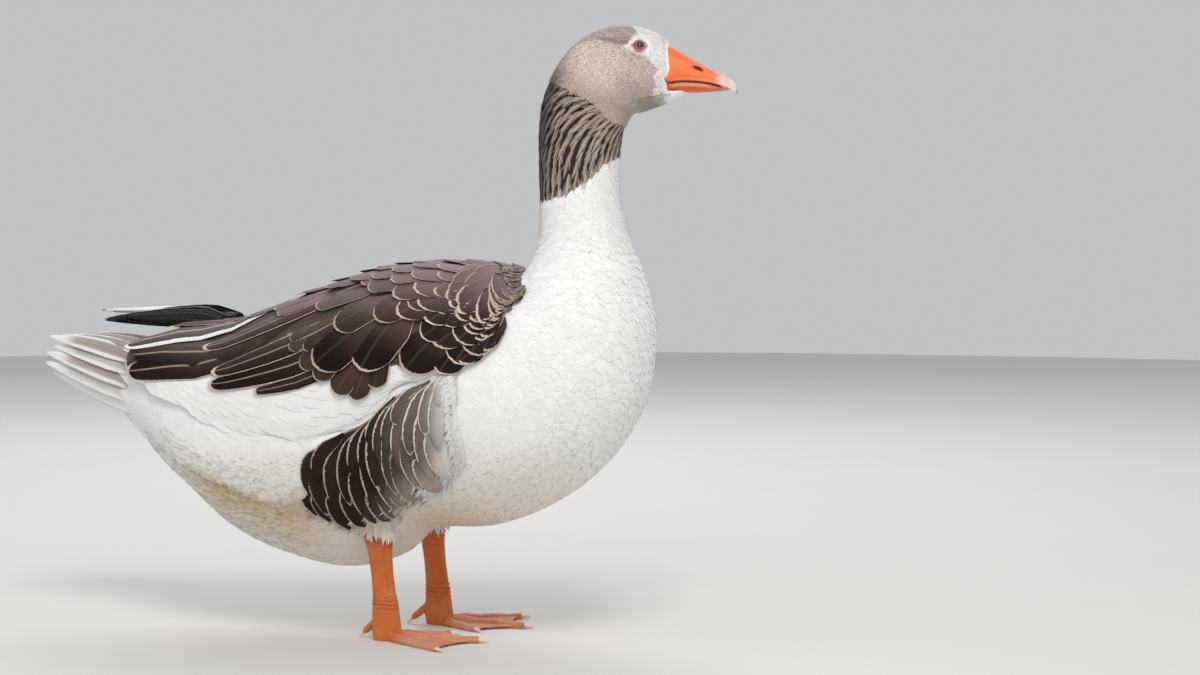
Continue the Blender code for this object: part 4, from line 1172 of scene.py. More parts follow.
def tertials(finish, side, name):
    """The long feathers that reach past the rump, the upper one with a broad white edge."""
    tip = np.array([t[0] for t in TERTIALS])
    root = np.array([t[1] for t in TERTIALS])
    half_width, darkness = (np.array([t[k] for t in TERTIALS]) for k in (2, 3))
    order = np.arange(len(tip)) / len(tip)
    rise = (-0.0048 + 0.0022 * order, 0.0001 + 0.0014 * order)
    laid = lay_to(wing_face, root, tip, half_width, LONG, rise, 0.0009, -0.05)
    tone = saddle_tone(laid, darkness)
    low = smooth((0.55 - even(tone.shape[2], -1, 1)) / 1.1)[None, None, :]
    low = low * np.clip(darkness + 0.2, 0, 1)[:, None, None]
    tone = mix(tone * 0.9, SADDLE_DARK * 1.6, low * 0.82)
    rims = np.broadcast_to(RIM * 1.05, tone.shape).copy()
    rims[WHITE_EDGED, :, :5] = WHITE * 0.95
    laid.rim[WHITE_EDGED, :-1, :3] = 1.0
    laid.rim[0] = 0.0
    piece = flock(
        f"tertials_{name}", laid, finish, wing_uv(*root.T, side), tone, side,
        Rim=laid.rim, Rim_tone=rims, Shaft=1.0,
    )


def lay_to(place, root, tip, half_width, cut, rise, rim, roll=0.0, bend=0.0):
    """Lays long feathers from root to tip over a surface's own coordinates, bowed along the first by bend."""
    n, rows, count = len(root), len(cut.rows), len(cut.columns)
    s = np.broadcast_to(cut.rows[None, :, None], (n, rows, count)).copy()
    t = np.broadcast_to(cut.columns[None, None, :], (n, rows, count)).copy()
    half = np.broadcast_to(half_width, n)[:, None, None]
    inner = 1 - 1.8 * np.broadcast_to(rim, n)[:, None] / half[:, :, 0]
    t[:, :, 1], t[:, :, -2] = -inner, inner
    run = (tip - root)[:, None, None]
    length = np.linalg.norm(place(*tip.T) - place(*root.T), axis=1)[:, None, None]
    s = s - cut.setback(s, t) * half / length
    bend = np.broadcast_to(bend, n)[:, None, None]
    p = root[:, 0, None, None] + run[..., 0] * s - 4 * bend * s * (1 - s)
    q = root[:, 1, None, None] + run[..., 1] * s
    along, around = slopes(place, p, q)
    lie = unit(along * (run[..., :1] - (4 * bend * (1 - 2 * s))[..., None]) + around * run[..., 1:])
    across = np.cross(unit(np.cross(along, around)), lie)
    p, q = step_on(place, p, q, (half * t * cut.width(s))[..., None] * across)
    low, high = (end[:, None, None] for end in rise)
    height = low + (high - low) * s + half * (0.10 * (1 - t**2) + roll * t)
    normal = unit(np.cross(*slopes(place, p, q)))
    rim_value = np.maximum(np.abs(t) >= 0.999, cut.rows[None, :, None] >= 0.999).astype(float)
    return Laid(place(p, q) + normal * height[..., None], normal, p, q, rim_value)


# how far down the wing its ground is brown, by the place along it, and where that ground starts and ends
PLATE_BROWN_TO = [
    (0, 0.80), (0.06, 0.82), (0.2, 0.60), (0.35, 0.60), (0.42, 0.48), (0.47, 0.60),
    (0.52, 0.74), (0.57, 0.82), (0.64, 0.88), (0.72, 0.92), (0.8, 0.90), (1.0, 0.85),
]
PLATE_FROM, PLATE_LENGTH = 0.037, 0.925


def secondaries(finish, side, name):
    """The lower part of the folded wing, white below and brown above, which carries its feathers."""

    def place(s, t):
        back = t > 0.5
        v = np.where(back, 2 - 2 * t, 2 * t)
        u = s * PLATE_LENGTH + PLATE_FROM
        edge = np.minimum(np.minimum(s, 1 - s) / 0.02, np.minimum(v, 1 - v) / 0.05)
        crease = np.abs(np.sin((v + 0.5 * u) * 26)) ** 0.5 * 0.0005 * smooth((v - 0.5) / 0.2)
        depth = np.where(back, 0.0046, 0.0026 + 0.0010 * (1 - np.clip(edge, 0, 1)) - crease)
        normal = unit(np.cross(*slopes(wing_face, u, v)))
        points = wing_face(u, v) - normal * depth[..., None]
        return points * np.array((1, side, 1))

    def bake(s, t):
        return wing_uv(s * PLATE_LENGTH + PLATE_FROM, np.where(t > 0.5, 2 - 2 * t, 2 * t), side)

    piece = swept(f"secondaries_{name}", place, 110, 96, finish, bake=bake)
    ring, angle = coordinates(piece.data)
    u, v = share_of(WING_RINGS, ring), down_wing(ring, degrees_down(angle))
    points = mesh_points(piece.data)
    brown = smooth((line(PLATE_BROWN_TO, u) - v + 0.02 * ripple(points, 300)) / 0.03 + 0.5)
    tone = mix(WHITE * 0.96, CREAM, smooth((0.5 - u) / 0.4) * smooth((v - 0.7) / 0.3) * 0.5)
    paint(piece.data, "Plumage", mix(tone, SADDLE * 0.8, brown))


def wing_lower_plumes(finish, side, name):
    """Broad white feathers of the lower wing, lying close along its edge."""
    levels = enumerate((0.97, 0.90, 0.83, 0.77))
    rows = [(u, v) for k, v in levels for u in np.arange(0.09 + 0.011 * k, 0.70, 0.022)]
    u, v = np.array(rows).T
    u, v = u + chance.normal(0, 0.003, len(u)), v + chance.normal(0, 0.006, len(u))
    keep = v > line(PLATE_BROWN_TO, u) + 0.03
    u, v = u[keep], v[keep]
    length = 0.040 * chance.uniform(0.9, 1.1, len(u))
    droop = np.full(len(u), 3.0)
    p, q = root_of(wing_face, u, v, wing_direction(u, v, droop), length)
    way = wing_direction(p, q, droop)
    laid = lay(wing_face, p, q, way, length, 0.0085, PLUME, (-0.0036, -0.0020), roll=-0.0004)
    tone = np.broadcast_to(WHITE * 0.97, laid.points.shape) * varied(len(u), 0.96, 1.02)
    piece = flock(f"wing_plumes_{name}", laid, finish, wing_uv(p, q, side), tone, side, calm=0.85)


def mantle(finish):
    """Small scale-like feathers over the back, between the wings."""
    ring, angle = scatter(4.6, 14.40, 0.0080, -radians(52), radians(52))
    degrees = degrees_down(angle)
    top = line(WING_TOP, ring)
    front = smooth((ring - 12.3) / 0.8)
    keep = degrees < np.maximum(top + 8, 16) + 12 * front
    ring, angle, front = ring[keep], angle[keep], front[keep]
    order = np.argsort(ring)
    ring, angle, front = ring[order], angle[order], front[order]
    size = chance.uniform(0.88, 1.12, len(ring)) * (1.5 - 0.75 * smooth((ring - 6) / 6))
    way = backward(ring, angle, chance.normal(0, 0.08, len(ring)))
    rise = (-0.0030 + 0.0020 * front, 0.0008 + 0.0024 * front + 0.0005 * chance.random(len(ring)))
    laid = lay(skin_point, ring, angle, way, 0.019 * size, 0.0066 * size, VANE, rise, rim=0.0006)
    # the mantle lies on top of the back and is painted lilac as sky light from above
    tone = np.broadcast_to(SADDLE_SKYLIT, laid.points.shape) * varied(len(ring), 0.7, 1.15)
    rims = np.broadcast_to(RIM * 0.75, laid.points.shape)
    piece = flock("mantle", laid, finish, unwrap(ring, angle), tone, Rim=laid.rim, Rim_tone=rims, Shaft=0.0)


BAR_DARK, BAR_GREY = np.array((0.030, 0.019, 0.014)), np.array((0.46, 0.37, 0.31))
BAR_RIM, BAR_RIM_PALE = np.array((0.44, 0.345, 0.285)), np.array((0.68, 0.59, 0.53))
FRINGE_PALE, FRINGE_DARK = WHITE * np.array((0.95, 0.88, 0.80)), np.array((0.40, 0.33, 0.27))
THIGH_WHITE = WHITE * np.array((1.0, 0.93, 0.84))


def flank_feathers(finish, side, name):
    """Columns of long barred feathers, dark at the rear and grey-buff in front and below."""
    rows = []
    for column in range(13):
        start = 0.050 + 0.0725 * column
        for k in range(-1, 3):
            v = (k + (0.0, 0.6, 0.3)[column % 3]) * 0.40 + chance.normal(0, 0.03)
            tip_v = min(v + chance.uniform(0.60, 0.72), 1.03)
            if -0.5 < v < 0.62 and tip_v > flank_start(start) + 0.25:
                u = start + 0.13 * smooth((0.28 - v) / 0.34)
                tip_u = max(start - 0.012 + chance.normal(0, 0.006), 0.03)
                rows.append((u, max(v, flank_start(u) + 0.005), tip_u, tip_v))
    u, v, tip_u, tip_v = np.array(rows).T
    root, tip = np.stack([u, v], -1), np.stack([tip_u, tip_v], -1)
    middle = (root + tip) / 2
    pitch = np.linalg.norm(slopes(flank_face, *middle.T)[0], axis=-1) * 0.079
    rise = (np.full(len(u), -0.0034), 0.0003 + 0.0006 * chance.random(len(u)))
    bend = 0.022 + 0.030 * smooth((0.25 - v) / 0.3)
    laid = lay_to(flank_face, root, tip, pitch * 0.72, BAR, rise, 0.0019, 0.17, bend)
    p, q = laid.p, laid.q
    low = smooth((q - 0.55) / 0.4)
    fade = np.clip(smooth((p - 0.40) / 0.5) * (0.35 + 0.8 * low) + 0.4 * low * smooth((p - 0.2) / 0.3), 0, 1)
    pale = smooth((p - 0.80) / 0.16)
    mottle = 0.5 + 0.5 * ripple(laid.points, 700)
    tone = mix(BAR_DARK, BAR_GREY, fade * (0.75 + 0.5 * mottle))
    tone = mix(tone * varied(len(u), 0.8, 1.2), WHITE * 0.85, pale * 0.85)
    rims = mix(BAR_RIM, BAR_RIM_PALE, smooth((p - 0.1) / 0.7))
    s = even(p.shape[1])[None, :, None]
    rim = laid.rim * (1 - smooth((s - 0.72) / 0.16) * (chance.random(len(u)) < 0.75)[:, None, None])
    piece = flock(
        f"flank_feathers_{name}", laid, finish, flank_uv(u, v, side), tone, side,
        Rim=rim, Rim_tone=rims, Shaft=0.0,
    )


def flank_edges(finish, side, name):
    """White and buff locks that break up the flank's front and lower edge, and cover the top of the leg."""
    rows = []
    for u, low, high, count in ((0.97, 0.02, 0.98, 130), (1.0, 0.0, 1.0, 120)):
        rows += [(u, v) for v in chance.uniform(low, high, count)]
    rows += [(u, v) for u, v in zip(chance.uniform(0.02, 1.0, 520), chance.normal(0.97, 0.05, 520))]
    u, v = np.array(rows).T
    along, around = slopes(flank_face, u, v)
    way = unit(around) * chance.uniform(0.2, 1.0, (len(u), 1))
    way = way - unit(along) * chance.uniform(0.4, 1.0, (len(u), 1))
    length = chance.uniform(0.008, 0.016, len(u))
    laid = lay(flank_face, u, v, way, length, 0.0013, LOCK, (-0.003, 0.0006), curl=0.1)
    buff = (v > 0.85) & (u < 0.75)
    tone = np.where(buff[:, None], mix(FRINGE_PALE, FRINGE_DARK, chance.random(len(u))), WHITE * 0.94)
    tone = tone[:, None, None] * varied(len(u), 0.9, 1.05)
    piece = flock(f"flank_locks_{name}", laid, finish, flank_uv(u, v, side), tone, side, calm=0.8)


def thigh_tufts(finish, side, name):
    """Downy tufts that hang over the top of the leg."""
    leg_x = LEG_X[name]

    def sleeve(a, h):
        a, h = np.broadcast_arrays(np.asarray(a, float), np.asarray(h, float))
        wide = 0.0165 + 0.10 * np.clip(h - 0.112, 0, 0.05)
        x = leg_x + SHIFT[0] - (h - LEG_BEND_Z) * LEG_LEAN + np.cos(a) * wide * 1.12
        return np.stack([x, LEG_Y + np.sin(a) * wide, h], -1)

    n = 620
    a, h = chance.uniform(-pi, pi, n), chance.uniform(0.114, 0.142, n)
    front = np.cos(a + 0.5)
    way = np.broadcast_to(np.array((0.0, 0.0, -1.0)), (n, 3)) + chance.normal(0, 0.14, (n, 3))
    length = chance.uniform(0.012, 0.020, n) * (1 + 0.25 * front)
    rise = (-0.002, -0.0002 + 0.0016 * chance.random(n))
    laid = lay(sleeve, a, h, way, length, 0.0017, LOCK, rise, curl=chance.normal(0, 0.1, n))
    tone = mix(CREAM, THIGH_WHITE, smooth(front * 0.7 + 0.5))[:, None, None] * varied(n, 0.82, 1.05)
    root_uv = unwrap(np.full(n, 9.3), np.radians(150) * side + a * 0.05)
    piece = flock(f"thigh_tufts_{name}", laid, finish, root_uv, tone, side, calm=0.5)


# ---------------------------------------------------------------- tail and primaries
def blade(centre, half_width, tilt, cut, camber=0.12, rim=0.0012):
    """One long free feather: centre line (rows, 3), half width, and a tilt in radians at each row."""
    rows = len(cut.rows)
    t = np.tile(cut.columns, (rows, 1))
    t[:, 1], t[:, -2] = -(1 - 2 * rim / half_width), 1 - 2 * rim / half_width
    lie = unit(np.gradient(centre, axis=0))
    across = np.stack([np.zeros(rows), np.cos(tilt), -np.sin(tilt)], -1)
    across = unit(across - (across * lie).sum(-1, keepdims=True) * lie)
    out = unit(np.cross(across, lie))
    width = half_width * cut.width(cut.rows)[:, None]
    offset = -half_width * cut.setback(cut.rows[:, None], t)
    points = centre[:, None] + across[:, None] * (t * width)[..., None] + lie[:, None] * offset[..., None]
    points = points + out[:, None] * (camber * width * (1 - t**2))[..., None]
    return points, np.repeat(out[:, None], t.shape[1], 1)


def free(blades):
    """Feathers that lie on no surface, from the points and the way out of each."""
    points, out = (np.array(part) for part in zip(*blades))
    return Laid(points, out, None, None, None)


POINTED = Cut(
    [0, 0.12, 0.26, 0.4, 0.55, 0.68, 0.8, 0.89, 0.95, 1], [-1, -0.85, -0.5, 0, 0.5, 0.85, 1],
    widest=0.3, base=0.7, end=0.22, rounding=0.8,
)
TAIL_RING, TAIL_BROWN = 3.9, np.array((0.25, 0.195, 0.175))
# tail feathers from the middle outwards: sideways and up at the tip, how far short of the end, tilt and
# brown share
TAIL = [
    (0.006, 0.2870, 0.003, 10, 0.9), (0.020, 0.2880, 0.004, 16, 0.9), (0.033, 0.2885, 0.003, 24, 0.9),
    (0.045, 0.2890, 0.0005, 36, 0.9), (0.046, 0.2790, 0.007, 44, 0.6), (0.0495, 0.2725, 0.000, 56, 0.85),
    (0.0500, 0.2620, 0.000, 70, 0.45), (0.0455, 0.2535, 0.003, 82, 0.0),
]


def tail_feathers(finish):
    """An arched fan of pointed white feathers with grey-brown middles."""
    blades, brown = [], []
    s = POINTED.rows
    angles = [radians(6 + 15 * k) for k in range(len(TAIL))]
    for angle, (out_y, up, short, tilt, share) in zip(angles, TAIL):
        for side in (1, -1):
            root = on_skin(TAIL_RING, angle * side, -0.006)
            tip = np.array((-0.3925 + short, out_y * side, up)) + SHIFT
            bow = np.array((0.0, 0.0, 0.004)) * np.sin(pi * s)[:, None]
            centre = root + (tip - root) * s[:, None] + bow
            blades.append(blade(centre, 0.0118, np.full(len(s), radians(tilt) * side), POINTED, 0.2))
            brown.append(share)
    laid = free(blades)
    s, t = even(len(s))[None, :, None], even(laid.points.shape[2], -1, 1)[None, None, :]
    streak = smooth((0.62 - np.abs(t)) / 0.35) * smooth((0.72 - s) / 0.2) * np.array(brown)[:, None, None]
    tone = mix(WHITE, TAIL_BROWN, streak)
    rims = np.broadcast_to(WHITE, laid.points.shape)
    uv = unwrap(np.full(len(brown), TAIL_RING), np.repeat(angles, 2) * np.tile([1, -1], len(TAIL)))
    piece = flock("tail_feathers", laid, finish, uv, tone, Rim=0.0, Rim_tone=rims, Shaft=0.5)
    solid(piece, 0.0006)


def solid(piece, thickness):
    """Gives thin sheets their thickness."""
    made = piece.modifiers.new("thickness", "SOLIDIFY")
    made.thickness = thickness
    made.offset = -1.0


# the middle of the left bundle, from root to tip
PRIMARIES = np.array(
    [
        (-0.200, 0.0120, 0.3030), (-0.226, 0.0150, 0.3060), (-0.255, 0.0165, 0.3080),
        (-0.300, 0.0165, 0.3075), (-0.350, 0.0125, 0.3055),
    ]
)
PRIMARY_BLACK, PRIMARY_RIM = np.array((0.0075, 0.0070, 0.0105)), np.array((0.07, 0.055, 0.06))
# (how far short of the tip it ends, sideways, up, whether it is white) for the feathers of each bundle
BUNDLES = {
    "right": [
        (0.006, -0.004, 0.000, 0), (0.016, 0.003, 0.002, 0),
        (0.030, 0.009, 0.0040, 0), (0.052, 0.012, 0.005, 0),
    ],
    "left": [
        (-0.010, -0.004, 0.0085, 1), (0.002, 0.000, 0.0070, 1),
        (0.022, 0.006, 0.0045, 0), (0.040, 0.010, 0.0055, 0),
    ],
}


def primaries(finish):
    """The crossed black tips of the longest wing feathers, some of them white."""
    s = LEAF.rows
    for name, feathers in BUNDLES.items():
        side = SIDES[name]
        blades, white = [], []
        for short, out_y, up, is_white in feathers:
            centre = between(PRIMARIES, s * (len(PRIMARIES) - 1))
            centre[:, 0] += short * s
            centre[:, 1] += out_y * (1 - 0.6 * s)
            centre[:, 2] += up
            centre = centre * np.array((1, side, 1)) + SHIFT
            tilt = radians(-24 if is_white else 42) * side
            blades.append(blade(centre, 0.0085 if is_white else 0.0125, np.full(len(s), tilt), LEAF, 0.16))
            white.append(is_white)
        laid = free(blades)
        rim = np.zeros(laid.points.shape[:3])
        white = (rim + np.array(white)[:, None, None]) * smooth((s - 0.45) / 0.1)[None, :, None]
        tone, rims = mix(PRIMARY_BLACK, WHITE * 0.93, white), mix(PRIMARY_RIM, WHITE, white)
        rim[:, :, 0] = rim[:, :, -1] = rim[:, -1] = 0.55
        root = unwrap(np.full(len(blades), 5.0), np.arange(len(blades)) * 0.05 * side)
        piece = flock(f"primary_feathers_{name}", laid, finish, root, tone, Rim=rim, Rim_tone=rims, Shaft=0.4)
        solid(piece, 0.0006)
        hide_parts(f"primaries_{name}")


# ---------------------------------------------------------------- eyes
def eyes():
    """Blue-grey irises round black pupils, under a clear gloss, in thin orange lids."""
    made = Finish("eye", 0.12, Coat_Weight=0.6, Coat_Roughness=0.02, Specular_IOR_Level=0.3)
    turn, grain = made.number("Turn"), made.noise(900, 3)
    iris = made.blend((turn + grain * 3).step(20, 30), (0.10, 0.19, 0.29), (0.060, 0.150, 0.26))
    iris = made.blend((turn + grain * 2).step(31, 41), iris, (0.012, 0.022, 0.04))
    tone = made.blend(turn.step(16.5, 21.0), (0.003, 0.003, 0.004), iris)
    glass = made.done(tone, 0.10 + grain * 0.05, grain, 0.00002)
    rim = Finish("eyelid", 0.42, Coat_Weight=0.15)
    crinkle = rim.noise(1400, 3)
    tone = rim.blend(crinkle, (0.62, 0.13, 0.035), (0.86, 0.27, 0.09))
    lid_skin = rim.done(tone, 0.34 + crinkle * 0.2, crinkle, 0.0004)
    for name, (centre, forward, up, out) in zip(SIDES, EYES):
        bm = bmesh.new()
        bmesh.ops.create_uvsphere(bm, u_segments=48, v_segments=40, radius=EYE_RADIUS)
        mesh = made_mesh(bm, f"eyeball_{name}")
        points = mesh_points(mesh)
        turn_from = np.degrees(np.arccos(np.clip(points[:, 2] / EYE_RADIUS, -1, 1)))
        cornea = 1 + 0.05 * hump(turn_from, 24)
        look = unit(out + 0.05 * forward)
        x = unit(np.cross(np.array((0.0, 0.0, 1.0)), look))
        axes = np.stack([x, np.cross(look, x), look])
        points = (points * cornea[:, None]) @ axes + centre - out * EYE_DEPTH
        mesh.vertices.foreach_set("co", points.ravel())
        paint(mesh, "Turn", turn_from)
        piece = dress(f"eyeball_{name}", mesh, glass)
        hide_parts(f"eye_{name}")

        def rim_of_lids(s, t, centre=centre, forward=forward, up=up, out=out):
            a, b = s * 2 * pi, t * 2 * pi
            corner = np.abs(np.cos(a)) ** 14
            x = np.cos(a) * OPENING[0] * (1 + 0.26 * corner)
            y = np.sin(a) * OPENING[1] * (1 + 0.04 * np.sin(a)) - 0.0006 * np.cos(a) * corner
            thick = 0.00062 + 0.0007 * corner + 0.0001 * np.sin(9 * a) ** 2
            x, y = x + np.cos(b) * thick * np.cos(a), y + np.cos(b) * thick * np.sin(a)
            reach = np.sqrt(np.maximum((EYE_RADIUS + 0.0003) ** 2 - x**2 - y**2, 0)) - EYE_DEPTH
            z = np.maximum(reach, 0.0018) + np.sin(b) * thick
            return centre + forward * x[..., None] + up * y[..., None] + out * z[..., None]

        piece = swept(f"lids_{name}", rim_of_lids, 72, 14, lid_skin, ends=False)
        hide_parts(f"eyelid_{name}")


# ---------------------------------------------------------------- bill
# place along the bill, top, low and half width, in the head's own frame
UPPER_BILL = np.array(
    [
        (0.0820, 0.5835, 0.5478, 0.0178), (0.0862, 0.5815, 0.5472, 0.0177), (0.0915, 0.5790, 0.5448, 0.0172),
        (0.1015, 0.5734, 0.5460, 0.0158), (0.1178, 0.5638, 0.5455, 0.0138), (0.1300, 0.5573, 0.5438, 0.0125),
        (0.1382, 0.5533, 0.5419, 0.0114), (0.1463, 0.5500, 0.5398, 0.0096), (0.1515, 0.5462, 0.5366, 0.0066),
        (0.1550, 0.5405, 0.5350, 0.0026),
    ]
)
LOWER_BILL = np.array(
    [
        (0.0820, 0.5466, 0.5362, 0.0153), (0.0862, 0.5460, 0.5358, 0.0152), (0.0915, 0.5441, 0.5353, 0.0150),
        (0.1015, 0.5453, 0.5350, 0.0142), (0.1178, 0.5448, 0.5352, 0.0126), (0.1300, 0.5431, 0.5358, 0.0110),
        (0.1400, 0.5406, 0.5366, 0.0085), (0.1465, 0.5388, 0.5372, 0.0040),
    ]
)
NOSTRIL, NOSTRIL_TILT = (0.1182, 0.5578), radians(-24)
MOUTH_X, NAIL_FROM, NAIL_TO, LOWER_TO = 0.0820, 0.1405, 0.15499, 0.1464
ARCH, BED = 0.78, 0.22  # shares of a ring of the bill
TEETH = 5200  # radians a metre


def nostril(x, z):
    """Places along and over the slanting nostril, and their distance from it in its own half sizes."""
    dx, dz = x - NOSTRIL[0], z - NOSTRIL[1]
    along = dx * cos(NOSTRIL_TILT) + dz * sin(NOSTRIL_TILT)
    over = -dx * sin(NOSTRIL_TILT) + dz * cos(NOSTRIL_TILT) - 0.0006 * np.cos(along * 260)
    return along, over, np.sqrt((along / 0.0056) ** 2 + (over / 0.0017) ** 2)


def row_at(table, x):
    """The row of a bill's table, counted with its fractions, where its length reaches x."""
    return np.interp(x, table[:, 0], np.arange(len(table)))


def bill_place(table, roof, first, last, grow=0.0):
    """A bill half as a closed sweep: its arch over most of each ring and its flat bed over the rest."""

    def place(s, t):
        rows = row_at(table, first) + (row_at(table, last) - row_at(table, first)) * s
        x, top, low, half = np.moveaxis(between(table, rows), -1, 0)
        arch = np.clip(t / ARCH, 0, 1)
        bed = np.clip((t - ARCH) / BED, 0, 1)
        a = pi * arch
        height = np.sin(a) ** 0.8
        y = np.where(t < ARCH, half * signed_power(np.cos(a), 0.9), -half + 2 * half * bed)
        z = low + (top - low) * height if roof else top - (top - low) * height
        dent = np.sin(pi * bed) * 0.25 * (top - low)
        z = z + (dent if roof else -dent) * (t >= ARCH)
        inward = np.stack([0 * x, -y / half, -(z - (top + low) / 2) / (top - low)], -1)
        if roof:
            along, over, far = nostril(x, z)
            lip = hump(far - 1.5, 0.45) * -0.00035
            pit = smooth(1.35 - far) * 0.0026 + lip
            groove = hump(over + 0.0035, 0.0016) * hump(along + 0.008, 0.014) * 0.0004
            tomium = hump(z - low - 0.0016, 0.0011) * -0.0006 * (t < ARCH)
            wave = hump(z - low - 0.0042, 0.0014) * 0.0004 * (t < ARCH)
            push = (pit + groove) * (np.abs(y) > half * 0.3) + (tomium + wave) * smooth((x - 0.083) / 0.006)
        else:
            teeth = hump(top - z - 0.0022, 0.0016) * smooth((x - 0.094) / 0.004) * smooth((0.137 - x) / 0.01)
            push = teeth * (0.0004 - 0.00035 * np.sin(x * TEETH) ** 2)
        corner = smooth((0.0965 - x) / 0.007)
        low_down = np.exp(-(((z - 0.5440) / 0.0085) ** 4))
        y = y * (1 + 0.15 * corner * low_down)
        z = z + 0.0022 * smooth((0.0895 - x) / 0.006) * hump(z - 0.5472, 0.003)
        y, z = y + inward[..., 1] * (push - grow), z + inward[..., 2] * (push - grow)
        return turned(NECK_AXIS_X + x, y, z)

    return place


def in_head(piece):
    """The points of a piece of the bill, and the same in the head's own frame: along, sideways and up."""
    points = mesh_points(piece.data)
    away = points - SHIFT - np.array((NECK_AXIS_X, 0, 0))
    c, s = cos(HEAD_TURN), sin(HEAD_TURN)
    return points, away[:, 0] * c + away[:, 1] * s, -away[:, 0] * s + away[:, 1] * c, away[:, 2]


def bill_finish():
    made = Finish("bill", 0.42, Specular_IOR_Level=0.35, Subsurface_Weight=0.05)
    grain, fine = made.noise(260, 4), made.noise(1700, 3)
    pits = 1 - made.cells(900).step(0.0, 0.28)
    tone = made.shade(made.colour(), 0.90 + grain * 0.16 - pits * 0.06)
    return made.done(tone, 0.30 + grain * 0.16 + fine * 0.06, grain * 0.8 + fine * 0.35 - pits * 0.35, 0.0005)


ORANGE, SALMON = np.array((0.86, 0.145, 0.018)), np.array((0.87, 0.185, 0.062))
DEEP_ORANGE, NAIL_TONE = np.array((0.74, 0.115, 0.004)), np.array((0.80, 0.50, 0.41))
NAIL_TIP = np.array((0.82, 0.66, 0.57))
# painted shade inside the nostrils, and the gape's own dark edge with the shade of its gap
LAMELLA, SLIT_DARK_AND_SHADE = np.array((0.72, 0.36, 0.24)), np.array((0.10, 0.008, 0.004))


def bill(finish):
    """Upper and lower bill with the nostrils, the wavy gape, the pale comb of the lower edge and the nail."""
    upper = swept("upper_bill", bill_place(UPPER_BILL, True, MOUTH_X, NAIL_FROM + 0.001), 150, 150, finish)
    points, x, y, z = in_head(upper)
    edge = z - between(UPPER_BILL, row_at(UPPER_BILL, x))[:, 2]
    tone = mix(ORANGE, SALMON, smooth((x - 0.092) / 0.03) * 0.8 + smooth((edge - 0.012) / 0.01) * 0.3)
    tone = mix(tone, SALMON * 1.02, 0.3 + 0.3 * ripple(points, 160, 2))
    tone = mix(tone, NAIL_TONE, smooth((x - NAIL_FROM + 0.008) / 0.009) * 0.85)
    # painted shade inside the nostril
    tone = mix(tone, SLIT_DARK_AND_SHADE, smooth((1.12 - nostril(x, z)[2]) / 0.3) * (np.abs(y) > 0.004))
    # the gape: its own dark edge, darkened further as painted shade of the gap
    tone = mix(tone, SLIT_DARK_AND_SHADE * 1.8, hump(edge, 0.0008) * 0.9)
    tone = mix(tone, DEEP_ORANGE * 0.7, hump(edge - 0.0036, 0.0008) * 0.45 * smooth((0.136 - x) / 0.02))
    paint(upper.data, "Plumage", tone)
    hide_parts("bill_upper")
    lower = swept("lower_bill", bill_place(LOWER_BILL, False, MOUTH_X, LOWER_TO), 150, 110, finish)
    points, x, y, z = in_head(lower)
    drop = between(LOWER_BILL, row_at(LOWER_BILL, x))[:, 1] - z
    comb = smooth((x - 0.090) / 0.006) * smooth((0.143 - x) / 0.02) * smooth((0.0046 - drop) / 0.0012)
    teeth = 0.5 + 0.5 * np.sin(x * TEETH + ripple(points, 900))
    tone = mix(DEEP_ORANGE, ORANGE, 0.4 + 0.3 * ripple(points, 130))
    tone = mix(tone, mix(LAMELLA, LAMELLA * np.array((0.8, 0.55, 0.45)), teeth * 0.6), comb)
    # the gape along the lower bill: its own dark edge with painted shade of the gap
    tone = mix(tone, SLIT_DARK_AND_SHADE * 1.6, smooth((0.0011 - drop) / 0.0008) * 0.9)
    paint(lower.data, "Plumage", mix(tone, NAIL_TONE * 0.9, smooth((x - 0.139) / 0.006) * 0.6))
    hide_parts("bill_lower")
    nail = swept("nail", bill_place(UPPER_BILL, True, NAIL_FROM, NAIL_TO, 0.00018), 60, 110, finish)
    points, x, y, z = in_head(nail)
    tone = mix(NAIL_TONE, NAIL_TIP, smooth((x - 0.145) / 0.008))
    paint(nail.data, "Plumage", tone * (1 + 0.05 * ripple(points, 300)[:, None]))
    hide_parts("bill_nail")


# ---------------------------------------------------------------- legs and feet
def leg_finish():
    made = Finish("leg_skin", 0.45, Specular_IOR_Level=0.4, Subsurface_Weight=0.05)
    grain, fine = made.noise(120, 3), made.noise(1500, 3)
    scutes = 1 - made.cells(520, "DISTANCE_TO_EDGE").step(0.0, 0.09)
    small = 1 - made.cells(1100, "DISTANCE_TO_EDGE").step(0.0, 0.10)
    tone = made.shade(made.colour(), 0.90 + grain * 0.20 - scutes * 0.16 - small * 0.07)
    height = 0.6 - scutes * 0.55 - small * 0.25 + fine * 0.2
    return made.done(tone, 0.38 + scutes * 0.22 + grain * 0.12, height, 0.0011)


def merged(*nodes):
    """A joined copy of solids, with their doubles merged."""
    bm = bmesh.new()
    for node in nodes:
        bm.from_mesh(bpy.data.objects[node].data)
    bmesh.ops.remove_doubles(bm, verts=bm.verts, dist=1e-6)
    return bm


LEG_ORANGE, LEG_LIGHT = np.array((0.88, 0.185, 0.024)), np.array((0.92, 0.28, 0.085))
# the web's own pale pink, made paler still as painted light on the upturned foot
WEB_PINK_AND_LIT = np.array((0.97, 0.48, 0.29))
# a darker red painted as the shade under the body on the top of the leg
JOINT_RED, THIGH_SHADE = np.array((0.50, 0.075, 0.015)), np.array((0.62, 0.10, 0.02))


